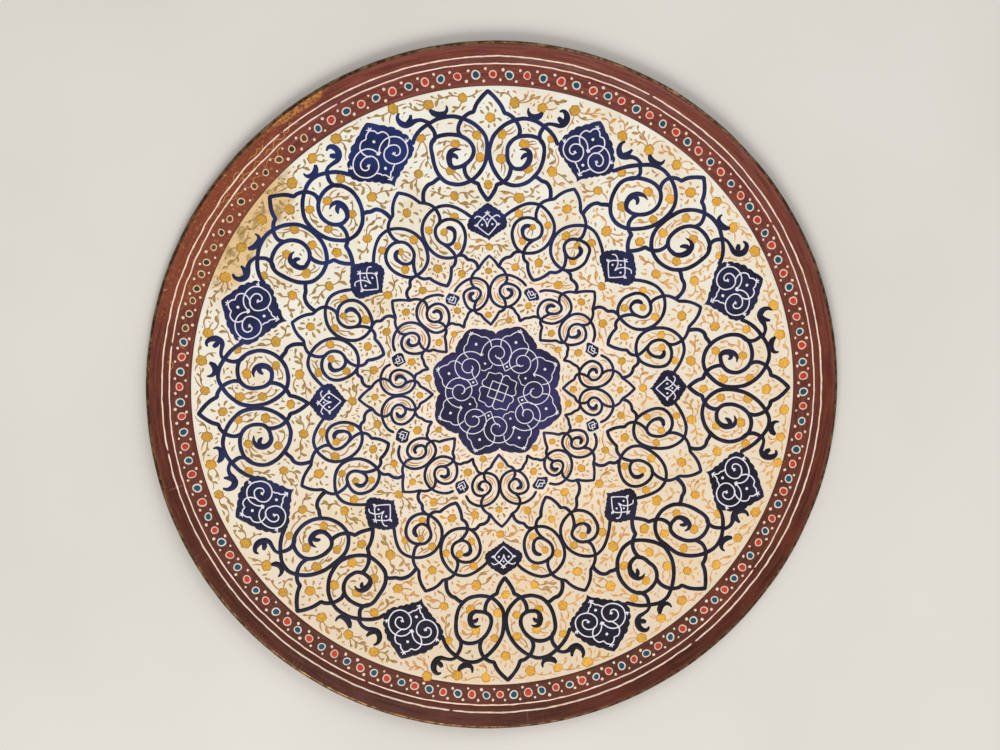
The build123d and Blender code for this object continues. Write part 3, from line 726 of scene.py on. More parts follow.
def rosette_outline():
    """Counter-clockwise outline of the rosette: a notch on each spoke and a lobe between."""
    corners = []
    for spoke in range(SPOKES):
        for offset, radius, bulge in ROSETTE_EDGE:
            a = math.radians(PITCH * spoke + offset)
            corners.append((radius * math.cos(a), radius * math.sin(a), -bulge))
    return np.array(scalloped(corners + corners[:1]))


# ---------------------------------------------------------------- materials

class Shader:
    """Builds one material out of nodes."""

    def __init__(self, name):
        self.material = bpy.data.materials.new(name)
        self.material.use_nodes = True
        self.tree = self.material.node_tree
        self.surface = self.tree.nodes["Principled BSDF"]
        self.place = self.node("ShaderNodeTexCoord").outputs["Object"]
        axes = self.node("ShaderNodeSeparateXYZ")
        self.feed(axes.inputs[0], self.place)
        self.x, self.y, _ = axes.outputs

    def node(self, kind, **settings):
        made = self.tree.nodes.new(kind)
        for key, value in settings.items():
            setattr(made, key, value)
        return made

    def feed(self, socket, value):
        if isinstance(value, bpy.types.NodeSocket):
            self.tree.links.new(value, socket)
        elif socket.type == "RGBA":
            socket.default_value = tuple(value)[:3] + (1.0,)
        else:
            socket.default_value = value

    def math(self, operation, first, second):
        made = self.node("ShaderNodeMath", operation=operation)
        self.feed(made.inputs[0], first)
        self.feed(made.inputs[1], second)
        return made.outputs[0]

    def times(self, first, *others):
        for other in others:
            first = self.math("MULTIPLY", first, other)
        return first

    def vector(self, operation, first, second=(0, 0, 0)):
        made = self.node("ShaderNodeVectorMath", operation=operation)
        self.feed(made.inputs[0], first)
        self.feed(made.inputs[1], second)
        return made

    def mix(self, share, first, second, blend="MIX"):
        made = self.node("ShaderNodeMix", data_type="RGBA", blend_type=blend)
        self.feed(made.inputs["Factor"], share)
        self.feed(made.inputs[6], first)
        self.feed(made.inputs[7], second)
        return made.outputs[2]

    def stain(self, colour, amount, tint, *masks):
        """The colour, taken an amount of the way to the tint where all the masks are 1."""
        return self.mix(self.times(amount, *masks), colour, tint)

    def noise(self, size_mm, detail=3.0, roughness=0.5, where=None):
        """Noise whose features are about size_mm across."""
        made = self.node("ShaderNodeTexNoise")
        self.feed(made.inputs["Vector"], where or self.place)
        made.inputs["Scale"].default_value = 1 / (size_mm * MM) if where is None else 1.0
        made.inputs["Detail"].default_value = detail
        made.inputs["Roughness"].default_value = roughness
        return made.outputs["Fac"]

    def patches(self, size_mm, detail, low, high, roughness=0.5):
        """Patches about size_mm across, which are 1, fading to 0 between them."""
        return self.ramp(self.noise(size_mm, detail, roughness), low, high)

    def wander(self, low, high, size_mm):
        """A roughness that wanders between low and high."""
        made = self.node("ShaderNodeMapRange")
        for socket, given in zip(made.inputs, (self.noise(size_mm), 0.3, 0.7, low, high)):
            self.feed(socket, given)
        return made.outputs[0]

    def ramp(self, value, low, high):
        """0 below low, 1 above high, and smooth between."""
        made = self.node("ShaderNodeMapRange", interpolation_type="SMOOTHSTEP")
        for socket, given in zip(made.inputs, (value, low, high, 0.0, 1.0)):
            self.feed(socket, given)
        return made.outputs[0]

    def radius(self):
        """Distance from the tray's axis, in millimetres."""
        flat = self.vector("MULTIPLY", self.place, (1000, 1000, 0)).outputs[0]
        return self.vector("LENGTH", flat).outputs["Value"]

    def around(self, turns, across):
        """Coordinates that run round the tray and out from its middle, without a seam."""
        flat = self.vector("MULTIPLY", self.place, (1, 1, 0)).outputs[0]
        ring = self.vector("NORMALIZE", flat).outputs[0]
        ring = self.vector("MULTIPLY", ring, (turns, turns, turns)).outputs[0]
        out = self.node("ShaderNodeCombineXYZ")
        self.feed(out.inputs["Z"], self.times(self.radius(), across))
        return self.vector("ADD", ring, out.outputs[0]).outputs[0]

    def near(self, x, y, turn, length, width):
        """1 at a place on the tray and 0 outside an oval about it, with a ragged edge."""
        made = self.node("ShaderNodeMapping", vector_type="TEXTURE")
        self.feed(made.inputs["Vector"], self.place)
        made.inputs["Location"].default_value = (x * MM, y * MM, 0)
        made.inputs["Rotation"].default_value = (0, 0, math.radians(turn))
        made.inputs["Scale"].default_value = (length * MM, width * MM, 1)
        distance = self.vector("LENGTH", made.outputs[0]).outputs["Value"]
        ragged = self.math("ADD", distance, self.times(self.noise(9, 5), 0.7))
        return self.ramp(ragged, 1.35, 1.0)

    def finish(self, colour, rough, bump, bump_mm=0.02, metallic=0.0, shine=0.5):
        """The material, with its colour, roughness and metal, and a bump of this height."""
        self.surface.inputs["Specular IOR Level"].default_value = shine
        self.feed(self.surface.inputs["Base Color"], colour)
        self.feed(self.surface.inputs["Roughness"], rough)
        self.surface.inputs["Metallic"].default_value = metallic
        made = self.node("ShaderNodeBump")
        made.inputs["Distance"].default_value = bump_mm * MM
        made.inputs["Strength"].default_value = 1.0
        self.feed(made.inputs["Height"], bump)
        self.feed(self.surface.inputs["Normal"], made.outputs[0])
        return self.material


# Where the paint is marked, as (x, y, direction in degrees, half length, half width).
YELLOWED = (-105, 69, 57, 34, 14)
ORANGE_STAIN = (-119, 76, 57, 58, 22)
BARE_RIM = (-84, 121, 35, 17, 2.4)
BLUEST = (-62, 88, 57, 52, 26)


def cream_paint():
    s = Shader("cream_paint")
    # Painted light and reflection: the cream is lighter and cooler towards the top. Painted shade:
    # it is darker towards the bottom.
    painted_cool_light = s.ramp(s.math("SUBTRACT", s.y, s.times(s.x, 0.25)), -0.13, 0.11)
    colour = s.mix(painted_cool_light, srgb(229, 211, 186), srgb(239, 238, 228))
    colour = s.mix(s.ramp(s.y, -0.06, -0.12), colour, srgb(222, 205, 183))
    colour = s.stain(colour, 0.45, srgb(225, 200, 158), s.patches(22, 4, 0.42, 0.7))
    colour = s.stain(colour, 0.28, srgb(242, 222, 190), s.patches(3.5, 4, 0.5, 0.75))
    colour = s.stain(colour, 0.22, srgb(206, 178, 140), s.patches(0.9, 3, 0.52, 0.72))
    colour = s.stain(colour, 0.6, srgb(250, 226, 206), s.ramp(s.radius(), 75, 45),
                     s.patches(7, 3, 0.35, 0.6))
    yellowed = s.times(s.near(*YELLOWED), s.ramp(s.radius(), 116.5, 120.5))
    colour = s.stain(colour, 0.9, srgb(224, 188, 132), yellowed)
    colour = s.stain(colour, 0.7, srgb(150, 122, 66), yellowed, s.patches(5, 5, 0.5, 0.62, 0.6))
    crackle = s.node("ShaderNodeTexVoronoi", feature="DISTANCE_TO_EDGE")
    crackle.inputs["Scale"].default_value = 1 / (5.5 * MM)
    crack = s.times(s.ramp(crackle.outputs["Distance"], 0.022, 0.008), s.patches(30, 2, 0.5, 0.62))
    colour = s.stain(colour, 0.18, srgb(150, 122, 92), crack)
    bump = s.math("SUBTRACT", s.noise(2.2, 4), s.times(crack, 0.4))
    return s.finish(colour, s.wander(0.42, 0.58, 14), bump=bump, bump_mm=0.03, shine=0.25)


def maroon_paint():
    s = Shader("maroon_paint")
    r = s.radius()
    streaks = s.noise(1, 5, 0.6, s.around(9.0, 1.1))
    # Painted light and shade: both tones of the border are lighter towards the top and darker
    # towards the bottom.
    upper = s.ramp(s.y, -0.12, 0.13)
    dark = s.mix(upper, srgb(72, 34, 22), srgb(98, 46, 38))
    light = s.mix(upper, srgb(101, 54, 38), srgb(136, 72, 62))
    colour = s.mix(s.ramp(streaks, 0.35, 0.68), dark, light)
    colour = s.stain(colour, 0.5, srgb(120, 56, 42), s.patches(26, 3, 0.4, 0.68))
    colour = s.stain(colour, 0.35, srgb(84, 40, 30), s.ramp(r, 140.2, 140.9),
                     s.ramp(r, 143.6, 142.9))
    orange = s.near(*ORANGE_STAIN)
    colour = s.stain(colour, 0.55, srgb(146, 78, 48), orange)
    mottled = s.math("ADD", s.times(orange, 0.35), 0.4)
    colour = s.stain(colour, mottled, srgb(90, 38, 32), s.patches(1.1, 4, 0.5, 0.72, 0.65))
    colour = s.stain(colour, 0.9, srgb(200, 134, 66), s.near(*BARE_RIM),
                     s.patches(1.5, 4, 0.36, 0.6, 0.6))
    flecked = s.math("ADD", s.times(orange, 0.8), 0.10)
    colour = s.stain(colour, flecked, srgb(206, 146, 84), s.patches(1.3, 4, 0.59, 0.70, 0.65))
    scratches = s.ramp(s.noise(1, 3, 0.55, s.around(260.0, 0.10)), 0.63, 0.72)
    colour = s.stain(colour, 0.40, srgb(186, 140, 118), scratches, s.patches(34, 2, 0.5, 0.66))
    colour = s.stain(colour, 0.7, srgb(72, 44, 36), s.ramp(r, CREAM_R + 0.65, CREAM_R + 0.15))
    colour = s.stain(colour, 0.6, srgb(92, 62, 42), s.ramp(r, 146.9, 148.4),
                     s.patches(2.4, 4, 0.5, 0.62))
    bump = s.math("ADD", streaks, s.times(s.noise(1.6, 4), 0.6))
    return s.finish(colour, s.wander(0.36, 0.55, 9), bump=bump, bump_mm=0.04, shine=0.2)


def navy_paint():
    """Its patches run from a dark to a light tone, and both change with the place on the tray."""
    s = Shader("navy_paint")
    # Painted light: both navy tones are lighter and bluer towards the upper left.
    painted_light_slant = s.math("SUBTRACT", s.y, s.times(s.x, 0.8))
    dark, light = srgb(27, 23, 34), srgb(38, 35, 58)
    # Painted shade: both navy tones are darker towards the bottom.
    lower = s.times(s.ramp(s.y, -0.04, -0.11), 0.8)
    within = s.ramp(s.radius(), 33, 29)
    for share, darker, lighter in (
            (s.ramp(painted_light_slant, -0.13, 0.12), srgb(29, 32, 62), srgb(39, 46, 92)),
            (s.near(*BLUEST), srgb(25, 30, 62), srgb(34, 50, 106)),
            (lower, srgb(20, 18, 25), srgb(28, 26, 39)),
            (within, srgb(38, 35, 62), srgb(54, 50, 94))):
        dark, light = s.mix(share, dark, darker), s.mix(share, light, lighter)
    colour = s.mix(s.patches(16, 4, 0.36, 0.66), dark, light)
    colour = s.stain(colour, 0.22, srgb(66, 68, 102), s.patches(1.5, 4, 0.5, 0.75, 0.6))
    return s.finish(colour, s.wander(0.36, 0.55, 6), bump=s.noise(0.9, 4), bump_mm=0.02,
                    shine=0.14)


def tinted_paint(name, noise_mm, amount, rough=0.5):
    """Brushwork whose colour is each stroke's own tint, a little uneven inside it."""
    s = Shader(name)
    tint = s.node("ShaderNodeVertexColor", layer_name="tint").outputs["Color"]
    darker = s.mix(1.0, tint, srgb(196, 172, 140), "MULTIPLY")
    colour = s.stain(tint, amount, darker, s.patches(noise_mm, 4, 0.35, 0.7))
    return s.finish(colour, rough, bump=s.noise(noise_mm, 3), bump_mm=0.015, shine=0.2)


def copper():
    s = Shader("tarnished_copper")
    under = s.mix(s.patches(7, 5, 0.35, 0.7), srgb(166, 96, 62), srgb(108, 64, 44))
    edge = s.mix(s.patches(2.2, 4, 0.4, 0.65), srgb(70, 47, 30), srgb(122, 94, 62))
    worn = s.ramp(s.noise(1, 4, 0.6, s.around(26.0, 0.6)), 0.54, 0.68)
    edge = s.stain(edge, 0.45, srgb(196, 160, 104), worn)
    colour = s.mix(s.ramp(s.radius(), 146.0, 147.6), under, edge)
    return s.finish(colour, s.wander(0.34, 0.6, 4), metallic=0.85, bump=s.noise(1.2, 4),
                    bump_mm=0.03)


def iron():
    s = Shader("iron_wire")
    colour = s.mix(s.patches(4, 4, 0.45, 0.7), srgb(120, 118, 114), srgb(112, 74, 50))
    return s.finish(colour, s.wander(0.35, 0.6, 3), metallic=0.9, bump=s.noise(0.8, 3))


def floor_paint():
    s = Shader("studio_floor")
    colour = s.mix(s.patches(160, 3, 0.3, 0.7), srgb(214, 211, 205), srgb(220, 217, 212))
    return s.finish(colour, 0.9, bump=s.noise(1.5, 2))


CREAM = cream_paint()
MAROON = maroon_paint()
NAVY = navy_paint()
LINE = tinted_paint("cream_line_paint", 1.8, 0.35)
WHITE = tinted_paint("white_paint", 1.2, 0.25)
BEAD = tinted_paint("bead_paint", 0.9, 0.4)
OCHRE = tinted_paint("ochre_paint", 1.1, 0.45, 0.6)
COPPER = copper()


# ---------------------------------------------------------------- metal and ground coats

BLOW_SPACING = 7.6     # the hammer's blows on the underside
BLOW_R = 4.8
BLOW_DEPTH = 0.13
WAVERS_FROM_R = 147    # the rolled edge isn't quite round beyond this


def hammer_marks():
    """Centres of the hammer's blows, in rings, as a tree to search."""
    places = []
    for ring in range(math.ceil(FLAT_R / BLOW_SPACING)):
        r = ring * BLOW_SPACING
        count = max(1, int(2 * math.pi * r / BLOW_SPACING))
        start = random.uniform(0, 1)
        for i in range(count):
            a = 2 * math.pi * (i + start + random.uniform(-0.16, 0.16)) / count
            wander = r + random.uniform(-1.1, 1.1)
            places.append((wander * math.cos(a), wander * math.sin(a), 0))
    tree = kdtree.KDTree(len(places))
    for i, at in enumerate(places):
        tree.insert(at, i)
    tree.balance()
    return tree


def lathed_coat(name, material, slot, node, section, wobble, steps, middle=()):
    """A coat made by turning a section. The section's points numbered in `middle` are drawn to
    the axis, where they meet."""
    coat = Coat()
    coat.add(*lathe(section, steps, wobble))
    mesh = coat.make(name, material, slot, node).data
    for first in middle:
        for step in range(steps):
            point = mesh.vertices[step * len(section) + first]
            point.co.x = point.co.y = 0.0
    if middle:
        work = bmesh.new()
        work.from_mesh(mesh)
        bmesh.ops.remove_doubles(work, verts=work.verts, dist=1e-7)
        bmesh.ops.dissolve_degenerate(work, edges=work.edges, dist=1e-7)
        work.to_mesh(mesh)
        work.free()


def make_pan():
    """The raised sheet, with hammer marks on the underside and a rolled edge that wavers."""
    floor_points = 95
    lower = skin(1.0, -SHEET, ROLL_END, floor_points + 1)
    section = lower + skin(1.0, 0.0, ROLL_END, 4)[::-1]
    marks = hammer_marks()

    def wobble(i, r, z, a):
        if i < floor_points:
            gap = marks.find((r * math.cos(a), r * math.sin(a), 0))[2]
            fade = min(1.0, (FLAT_R - r) / 5)
            return r, z + fade * max(0.0, BLOW_DEPTH * (1 - (gap / BLOW_R) ** 2))
        if r > WAVERS_FROM_R:
            waver = 1 + uneven_round(a, 9, 3)
            return r - 0.12 * waver, z - 0.05 * waver
        return r, z

    lathed_coat("pan_sheet", COPPER, "copper", "copper_pan", section, wobble, steps=420,
                middle=(0, len(section) - 1))


def make_cream():
    """The cream ground, with the gentle unevenness of the hand-raised floor."""
    radii = np.linspace(1.0, CREAM_R - 0.15, 72)
    section = [(CREAM_R, SHEET), (CREAM_R, FLOOR_TOP - 0.05)]
    section += [(r, FLOOR_TOP) for r in radii[::-1]] + [(1.0, SHEET)]
    last = len(section) - 1

    def wobble(i, r, z, a):
        if 2 <= i < last:
            z += float(floor_wave(r * math.cos(a), r * math.sin(a)))
        return r, z

    lathed_coat("cream_coat", CREAM, "cream_paint", "cream_ground", section, wobble, steps=300,
                middle=(last - 1, last))


def make_maroon():
    """The maroon coat, which ends raggedly along the crest of the rolled edge."""
    lower = skin(CREAM_R, 0.0, CREST, 10)
    upper = skin(CREAM_R, COAT, CREST, 10)
    section = upper[::-1] + lower
    edge = len(upper)

    def wobble(i, r, z, a):
        ragged = uneven_round(a, 24, 5) + 0.6 * uneven_round(a, 70, 8)
        if i == 0 or i == len(section) - 1:
            r -= 0.15 + 0.25 * ragged
        if i < edge and r < FLAT_R:
            z += 0.015 * ragged
        return r, z

    lathed_coat("maroon_coat", MAROON, "maroon_paint", "maroon_border", section, wobble, steps=720)


# ---------------------------------------------------------------- border

RETOUCHED = (123.5, 171.5)     # the stretch of the border that was painted over later, in degrees
LINE_GAP = 0.25           # half of the gap where two strokes of a rim line meet, in degrees
RIM_LINE_WIDTH = 0.62
RIM_LINE_TINT = srgb(255, 230, 212)
DOT_TINT = srgb(240, 218, 196)


def retouched(degrees):
    """1 inside the retouched stretch and 0 outside it, with soft ends."""
    low, high = RETOUCHED
    return max(0.0, min(1.0, (degrees - low) / 6, (high - degrees) / 6))


def rim_line(name, radius, node, gaps):
    """One of the two brushed lines round the rim, with its gaps and its unsteady stretch."""
    coat = Coat()
    for start, end in zip(gaps, gaps[1:] + [gaps[0] + 360]):
        angles = np.radians(np.arange(start + LINE_GAP, end - LINE_GAP, 0.35))
        radii = []
        for a in angles:
            quick = uneven_round(a, 22, radius)
            unsteady = retouched(math.degrees(a) % 360) * 0.25 * quick
            radii.append(radius + 0.20 * uneven_round(a, 7, radius) + 0.08 * quick + unsteady)
        brush(coat, polar(radii, angles), RIM_LINE_WIDTH, height=0.09, tint=RIM_LINE_TINT,
              step=0.8, shaky=0.35)
    coat.make(name, LINE, "cream_line_paint", node)


# Where some of the beads sit, as (bead, degrees). They are closer together along the bottom.
BEAD_PLACES = [
    (0, 16.4), (10, 44.1), (20, 72.1), (26, 90.7), (32, 109.1), (40, 132.7), (42, 139.2),
    (44, 146.6), (47, 155.5), (51, 165.2), (56, 178.7), (60, 189.5), (70, 216.7), (80, 243.8),
    (90, 270.8), (100, 296.9), (110, 324.0), (120, 350.9), (129, 376.4),
]


def bead_angle(bead):
    return float(np.interp(bead, *zip(*BEAD_PLACES)))


def ring_of(x, y, radius, count, squash, lean):
    """A slightly uneven circle."""
    angles = np.linspace(0, 2 * math.pi, count, endpoint=False)
    uneven = 1 + 0.05 * np.sin(2 * angles + lean) + 0.03 * np.sin(3 * angles + 2 * lean)
    return (x, y) + polar(radius * uneven, angles) * (squash, 1)


def bead_tints(red, over):
    """The ring's and the bead's tint, which are duller where the border was painted over."""
    tone = random.uniform(0.88, 1.1)
    if over > 0.5:
        return srgb(234, 208, 166), srgb(104, 66, 44) if red else srgb(58, 52, 48)
    heart = srgb(194, 64, 47) if red else srgb(26, 80, 106)
    return (srgb(240, 200, 180) if red else srgb(226, 224, 214)), tuple(c * tone for c in heart)


def make_beads():
    """The row of red and blue beads, their pale rings and the dots between them."""
    rings, reds, blues, dots = Coat(), Coat(), Coat(), Coat()
    for bead in range(BEADS):
        degrees = (bead_angle(bead) + random.uniform(-0.16, 0.16)) % 360
        a = math.radians(degrees)
        over = retouched(degrees)
        r = BEAD_ROW_R + random.uniform(-0.25, 0.25)
        x, y = r * math.cos(a), r * math.sin(a)
        red = bead % 2 == 0
        ring_tint, heart_tint = bead_tints(red, over)
        size = random.uniform(0.92, 1.06) * (1 - 0.14 * over)
        lean = random.uniform(0, 6)
        circle = ring_of(x, y, BEAD_RING_R * size, 26, random.uniform(0.93, 1.05), lean)
        circle = np.vstack([circle, circle[:2]])
        brush(rings, circle, BEAD_RING_WIDTH * size, height=0.10, tint=ring_tint, step=0.42,
              shaky=0.3)
        heart = ring_of(x, y, BEAD_R * size, 18, 1.0, lean + 1)
        (reds if red else blues).add(*plate(heart, on_ground, 0.07, (0.8, 0.4)), tint=heart_tint)
        half_step = math.radians((bead_angle(bead + 1) - bead_angle(bead)) / 2)
        for row, out_of_step in DOT_ROWS:
            b = a + half_step * (1 + out_of_step) + math.radians(random.uniform(-0.28, 0.28))
            d = row + random.uniform(-0.35, 0.35)
            spot = ring_of(d * math.cos(b), d * math.sin(b), random.uniform(0.48, 0.74), 12,
                           random.uniform(0.8, 1.1), random.uniform(0, 6))
            dots.add(*plate(spot, on_ground, 0.09, (0.7,)), tint=DOT_TINT)
    rings.make("bead_ring_paint", BEAD, "white_paint", "bead_rings")
    reds.make("red_bead_paint", BEAD, "red_paint", "red_beads")
    blues.make("blue_bead_paint", BEAD, "blue_paint", "blue_beads")
    dots.make("bead_dot_paint", WHITE, "white_paint", "bead_dots")


# Where gold was scribbled over the rim, as (degrees, radius, length along the rim).
SCRIBBLES = [
    (126, 143.5, 5), (129, 142.0, 7), (131, 138.5, 6), (133, 145.0, 5), (135, 141.5, 8),
    (137, 137.8, 5), (139, 143.8, 6), (141, 139.6, 6), (143, 142.4, 5), (172.5, 141.0, 4),
    (173.5, 139.4, 5), (169.5, 135.8, 3),
]


def paint_scribbles():
    coat = Coat()
    for degrees, radius, length in SCRIBBLES:
        turns = np.linspace(0, 1.7 * length, 7)
        angles = np.radians(degrees) + turns / radius
        wave = radius + np.array([random.uniform(-1.3, 1.3) for _ in turns])
        path = smooth(polar(wave, angles), 4)
        brush(coat, path, 0.3, height=0.07, profile=THIN, tint=srgb(206, 152, 88), step=0.5)
    coat.make("gold_scribbles", OCHRE, "ochre_paint")


# ---------------------------------------------------------------- navy and white work

WHITE_TINT = srgb(238, 236, 246)

navy_paths = []      # each navy stroke's path and how far it reaches to each side


def paint_palmettes(name):
    offset, width, loop, strokes = PALMETTES[name]
    outer = name == "outer"
    coat = Coat()
    for spoke in range(SPOKES):
        for mirror in (False, True):
            for stroke in [loop] + strokes:
                path = place(smooth(stroke), spoke, offset, mirror)
                brush(coat, path, width)
                navy_paths.append((path, width / 2))
            swell = [width, width * 1.25, width * 1.4, width * 1.1]
            for points, widths in OUTER_LEAVES if outer else [(loop[-4:], swell)]:
                leaf(coat, points, widths, spoke, offset, mirror)
        for points, widths in OUTER_CURLS if outer else []:
            leaf(coat, points, widths, spoke, offset, False)
    coat.make(f"{name}_arabesque", NAVY, "navy_paint", f"{name}_palmettes")


def leaf(coat, points, widths, spoke, offset, mirror):
    """A stroke that swells and tapers."""
    path = place(smooth(points), spoke, offset, mirror)
    brush(coat, path, widths, step=0.35)
    navy_paths.append((path, max(widths) / 2))


def paint_medallions(name):
    scale = MEDALLIONS[name][2]
    coat = Coat()
    for spoke in range(SPOKES):
        outline = in_medallion(name, spoke, medallion_outline())
        rough = 0.12 * math.sqrt(scale) * hand_noise(outline, 1.3, spoke)
        outline = outline + np.column_stack([rough, rough[::-1]])
        coat.add(*plate(outline, on_ground, NAVY_LIFT + 0.02))
        navy_paths.append((respaced(np.vstack([outline, outline[:1]]), 0.8)[0], 0.2))
        navy_paths.append((in_medallion(name, spoke, [(0, 0)]), 11.5 * scale))
    coat.make(f"{name}_medallion_paint", NAVY, "navy_paint", f"{name}_medallions")


def paint_rosette():
    coat = Coat()
    outline = turned(rosette_outline(), 90 + PATTERN_TURN) + ROSETTE_CENTRE
    coat.add(*plate(outline, on_ground, NAVY_LIFT + 0.02, (0.95, 0.6, 0.3)))
    navy_paths.append((outline, 0.2))
    navy_paths.append(([(0, 0)], ROSETTE_REACH))
    coat.make("rosette_paint", NAVY, "navy_paint", "centre_rosette")


def white(coat, path, width, step=0.4):
    brush(coat, path, width, on_navy, WHITE_LIFT, WHITE_TINT, step)


def draw_marks(coat, put, fleurs, dots):
    """Three-petalled marks and round dots, each at (x, y) and of this size, put in place."""
    for x, y, size in fleurs:
        for lean in (-62, 0, 62):
            a = math.radians(lean)
            tip = (x + size * math.sin(a), y + size * math.cos(a))
            petal = np.array([(x, y - 0.3 * size), ((x + tip[0]) / 2, (y + tip[1]) / 2), tip])
            white(coat, put(petal), [0.35, 0.62, 0.45], 0.25)
    for x, y, radius in dots:
        middle = put(np.array([(x, y)]))[0]
        spot = ring_of(*middle, radius, 14, 1.0, random.uniform(0, 6))
        coat.add(*plate(spot, on_navy, WHITE_LIFT, (0.6,)), tint=WHITE_TINT)


def paint_white_work():
    """The white drawing on the medallions."""
    coat = Coat()
    for spoke in range(SPOKES):
        for name, (strokes, width, *marks) in MEDALLION_WORK.items():
            for mirror in (False, True):
                put = partial(in_medallion, name, spoke, mirror=mirror)
                for stroke in strokes:
                    line = smooth(stroke) if len(stroke) > 2 else np.array(stroke, float)
                    white(coat, put(line), width)
                draw_marks(coat, put, *marks[:2])
            draw_marks(coat, put, *marks[2:])
    coat.make("medallion_white_work", WHITE, "white_paint")


# Across and along a spoke: each spoke's coil, then what joins it to its neighbours. Neighbouring
# coils mirror each other, and the tails of each pair meet.
COIL_CENTRE = (0.8, 16.2)
COIL_TURNS = 1.95
COIL_OUTSIDE = 7.3
COIL_INSIDE = 1.3
COIL_JOINS = [
    [(0.6, 14.9), (1.9, 13.2), (2.6, 11.4), (3.0, 9.9), (3.6, 8.6)],
    [(-1.9, 11.7), (-2.7, 10.3), (-4.1, 9.9)],
]
# Half of a lobe's edge, across and along the line between two spokes.
LOBE_STROKES = [
    [(0.0, 27.6), (1.3, 26.9), (2.4, 25.8), (3.4, 24.4)],
    [(3.4, 24.4), (5.0, 23.7), (6.0, 22.2), (6.1, 20.6), (5.6, 18.8)],
]
# An eighth of the knot in the middle, and then a side of the square inside it.
KNOT_STROKES = [
    [(0.0, 0.1), (1.3, 1.3), (2.8, 2.8), (4.3, 4.3), (4.8, 5.8), (3.9, 7.0), (2.4, 7.2)],
    [(2.4, 7.2), (1.3, 8.1), (0.0, 9.2)],
]
KNOT_SIDE = [(0.0, 5.1), (1.6, 3.4), (3.6, 1.6), (5.1, 0.0)]


def coil():
    """A spiral from its tail, beside the spoke, inwards to its heart."""
    t = np.linspace(0, 1, 70)
    a = math.pi - 2 * math.pi * COIL_TURNS * t
    radius = COIL_OUTSIDE + (COIL_INSIDE - COIL_OUTSIDE) * t
    return polar(radius, a) + COIL_CENTRE


def on_rosette(points, offset, mirror=False):
    """Points drawn on a spoke, turned by the offset from the first spoke, on the rosette."""
    return turned(mirrored(points, mirror), PATTERN_TURN + offset) + ROSETTE_CENTRE


def paint_rosette_white():
    """The white drawing on the rosette: coils, lobes and a four-petalled knot round a square."""
    coat = Coat()
    for spoke in range(SPOKES):
        mirror = spoke % 2 == 1
        turn = PITCH * spoke
        white(coat, on_rosette(coil(), turn, mirror), 0.46)
        for stroke in COIL_JOINS:
            white(coat, on_rosette(smooth(stroke), turn, mirror), 0.4)
        for side in (False, True):
            for stroke in LOBE_STROKES:
                white(coat, on_rosette(smooth(stroke), turn + HALF, side), 0.46)
        draw_marks(coat, partial(on_rosette, offset=turn + HALF), [(0, 27.4, 1.2)],
                   [(0, 22.6, 0.62), (0, 11.4 if mirror else 13.3, 0.5)])
        if not mirror:
            draw_marks(coat, partial(on_rosette, offset=turn), [(-6.6, 16.0, 1.1)], [])
    for quarter in range(4):
        turn = 2 * PITCH * quarter + HALF
        for side in (False, True):
            for stroke in KNOT_STROKES:
                white(coat, on_rosette(smooth(stroke), turn, side), 0.42)
        brush(coat, on_rosette(smooth(KNOT_SIDE), turn), 0.42, on_navy, WHITE_LIFT + 0.02,
              WHITE_TINT, 0.4)
    coat.make("rosette_white_work", WHITE, "white_paint")


# ---------------------------------------------------------------- flowers and sprigs

SPOKE_FLOWERS = [(0, 120.0, 2.0), (0, 91.2, 1.9), (0, 64.0, 1.7), (0, 53.8, 1.5), (0, 34.4, 1.4),
                 (7.3, 31.2, 1.4)]
SPOKE_PAIRS = [
    (5.2, 112.0, 1.9), (4.2, 100.0, 1.9), (14.8, 108.3, 1.9), (16.5, 96.3, 1.9),
    (25.2, 110.0, 1.8), (28.0, 96.0, 2.0), (10.5, 126.9, 2.1), (22.5, 125.2, 2.1),
    (35.8, 122.2, 2.1), (13.8, 86.3, 2.0), (12.4, 54.6, 1.7),
]
BETWEEN_FLOWERS = [(0, 87.4, 1.9), (0, 61.0, 1.7), (0, 38.9, 1.6)]
BETWEEN_PAIRS = [(17.0, 78.0, 1.7), (4.3, 76.2, 1.7), (10.2, 73.8, 1.5), (12.0, 66.2, 1.6)]
RAYED = (120.0, 91.2, 87.4, 61.0, 53.8, 38.9, 34.4)     # places of flowers that stand alone
GOLDS = [srgb(238, 182, 76), srgb(226, 170, 66), srgb(216, 164, 62), srgb(204, 158, 66)]
ORANGES = [srgb(236, 182, 112), srgb(218, 162, 94), srgb(196, 150, 86), srgb(172, 140, 80)]
TANS = [srgb(232, 182, 128), srgb(214, 162, 110), srgb(194, 148, 98), srgb(180, 142, 92)]

STEM_STEP = 0.5          # a stem grows by steps this long, while this much room is left beside it
STEM_ROOM = 0.6
STEM_WAYS = 14           # directions that a stem may set out in
STEM_BENDS = (-0.24, -0.12, 0.12, 0.24)
LEAF_ROOM = 0.06
SPRIG_TRIES = 32000
MIDDLE_TRIES_R = 66      # every other try lands inside this radius, where the sprigs are denser

flowers = []       # each flower's middle and radius, and whether leaves stand round it like rays


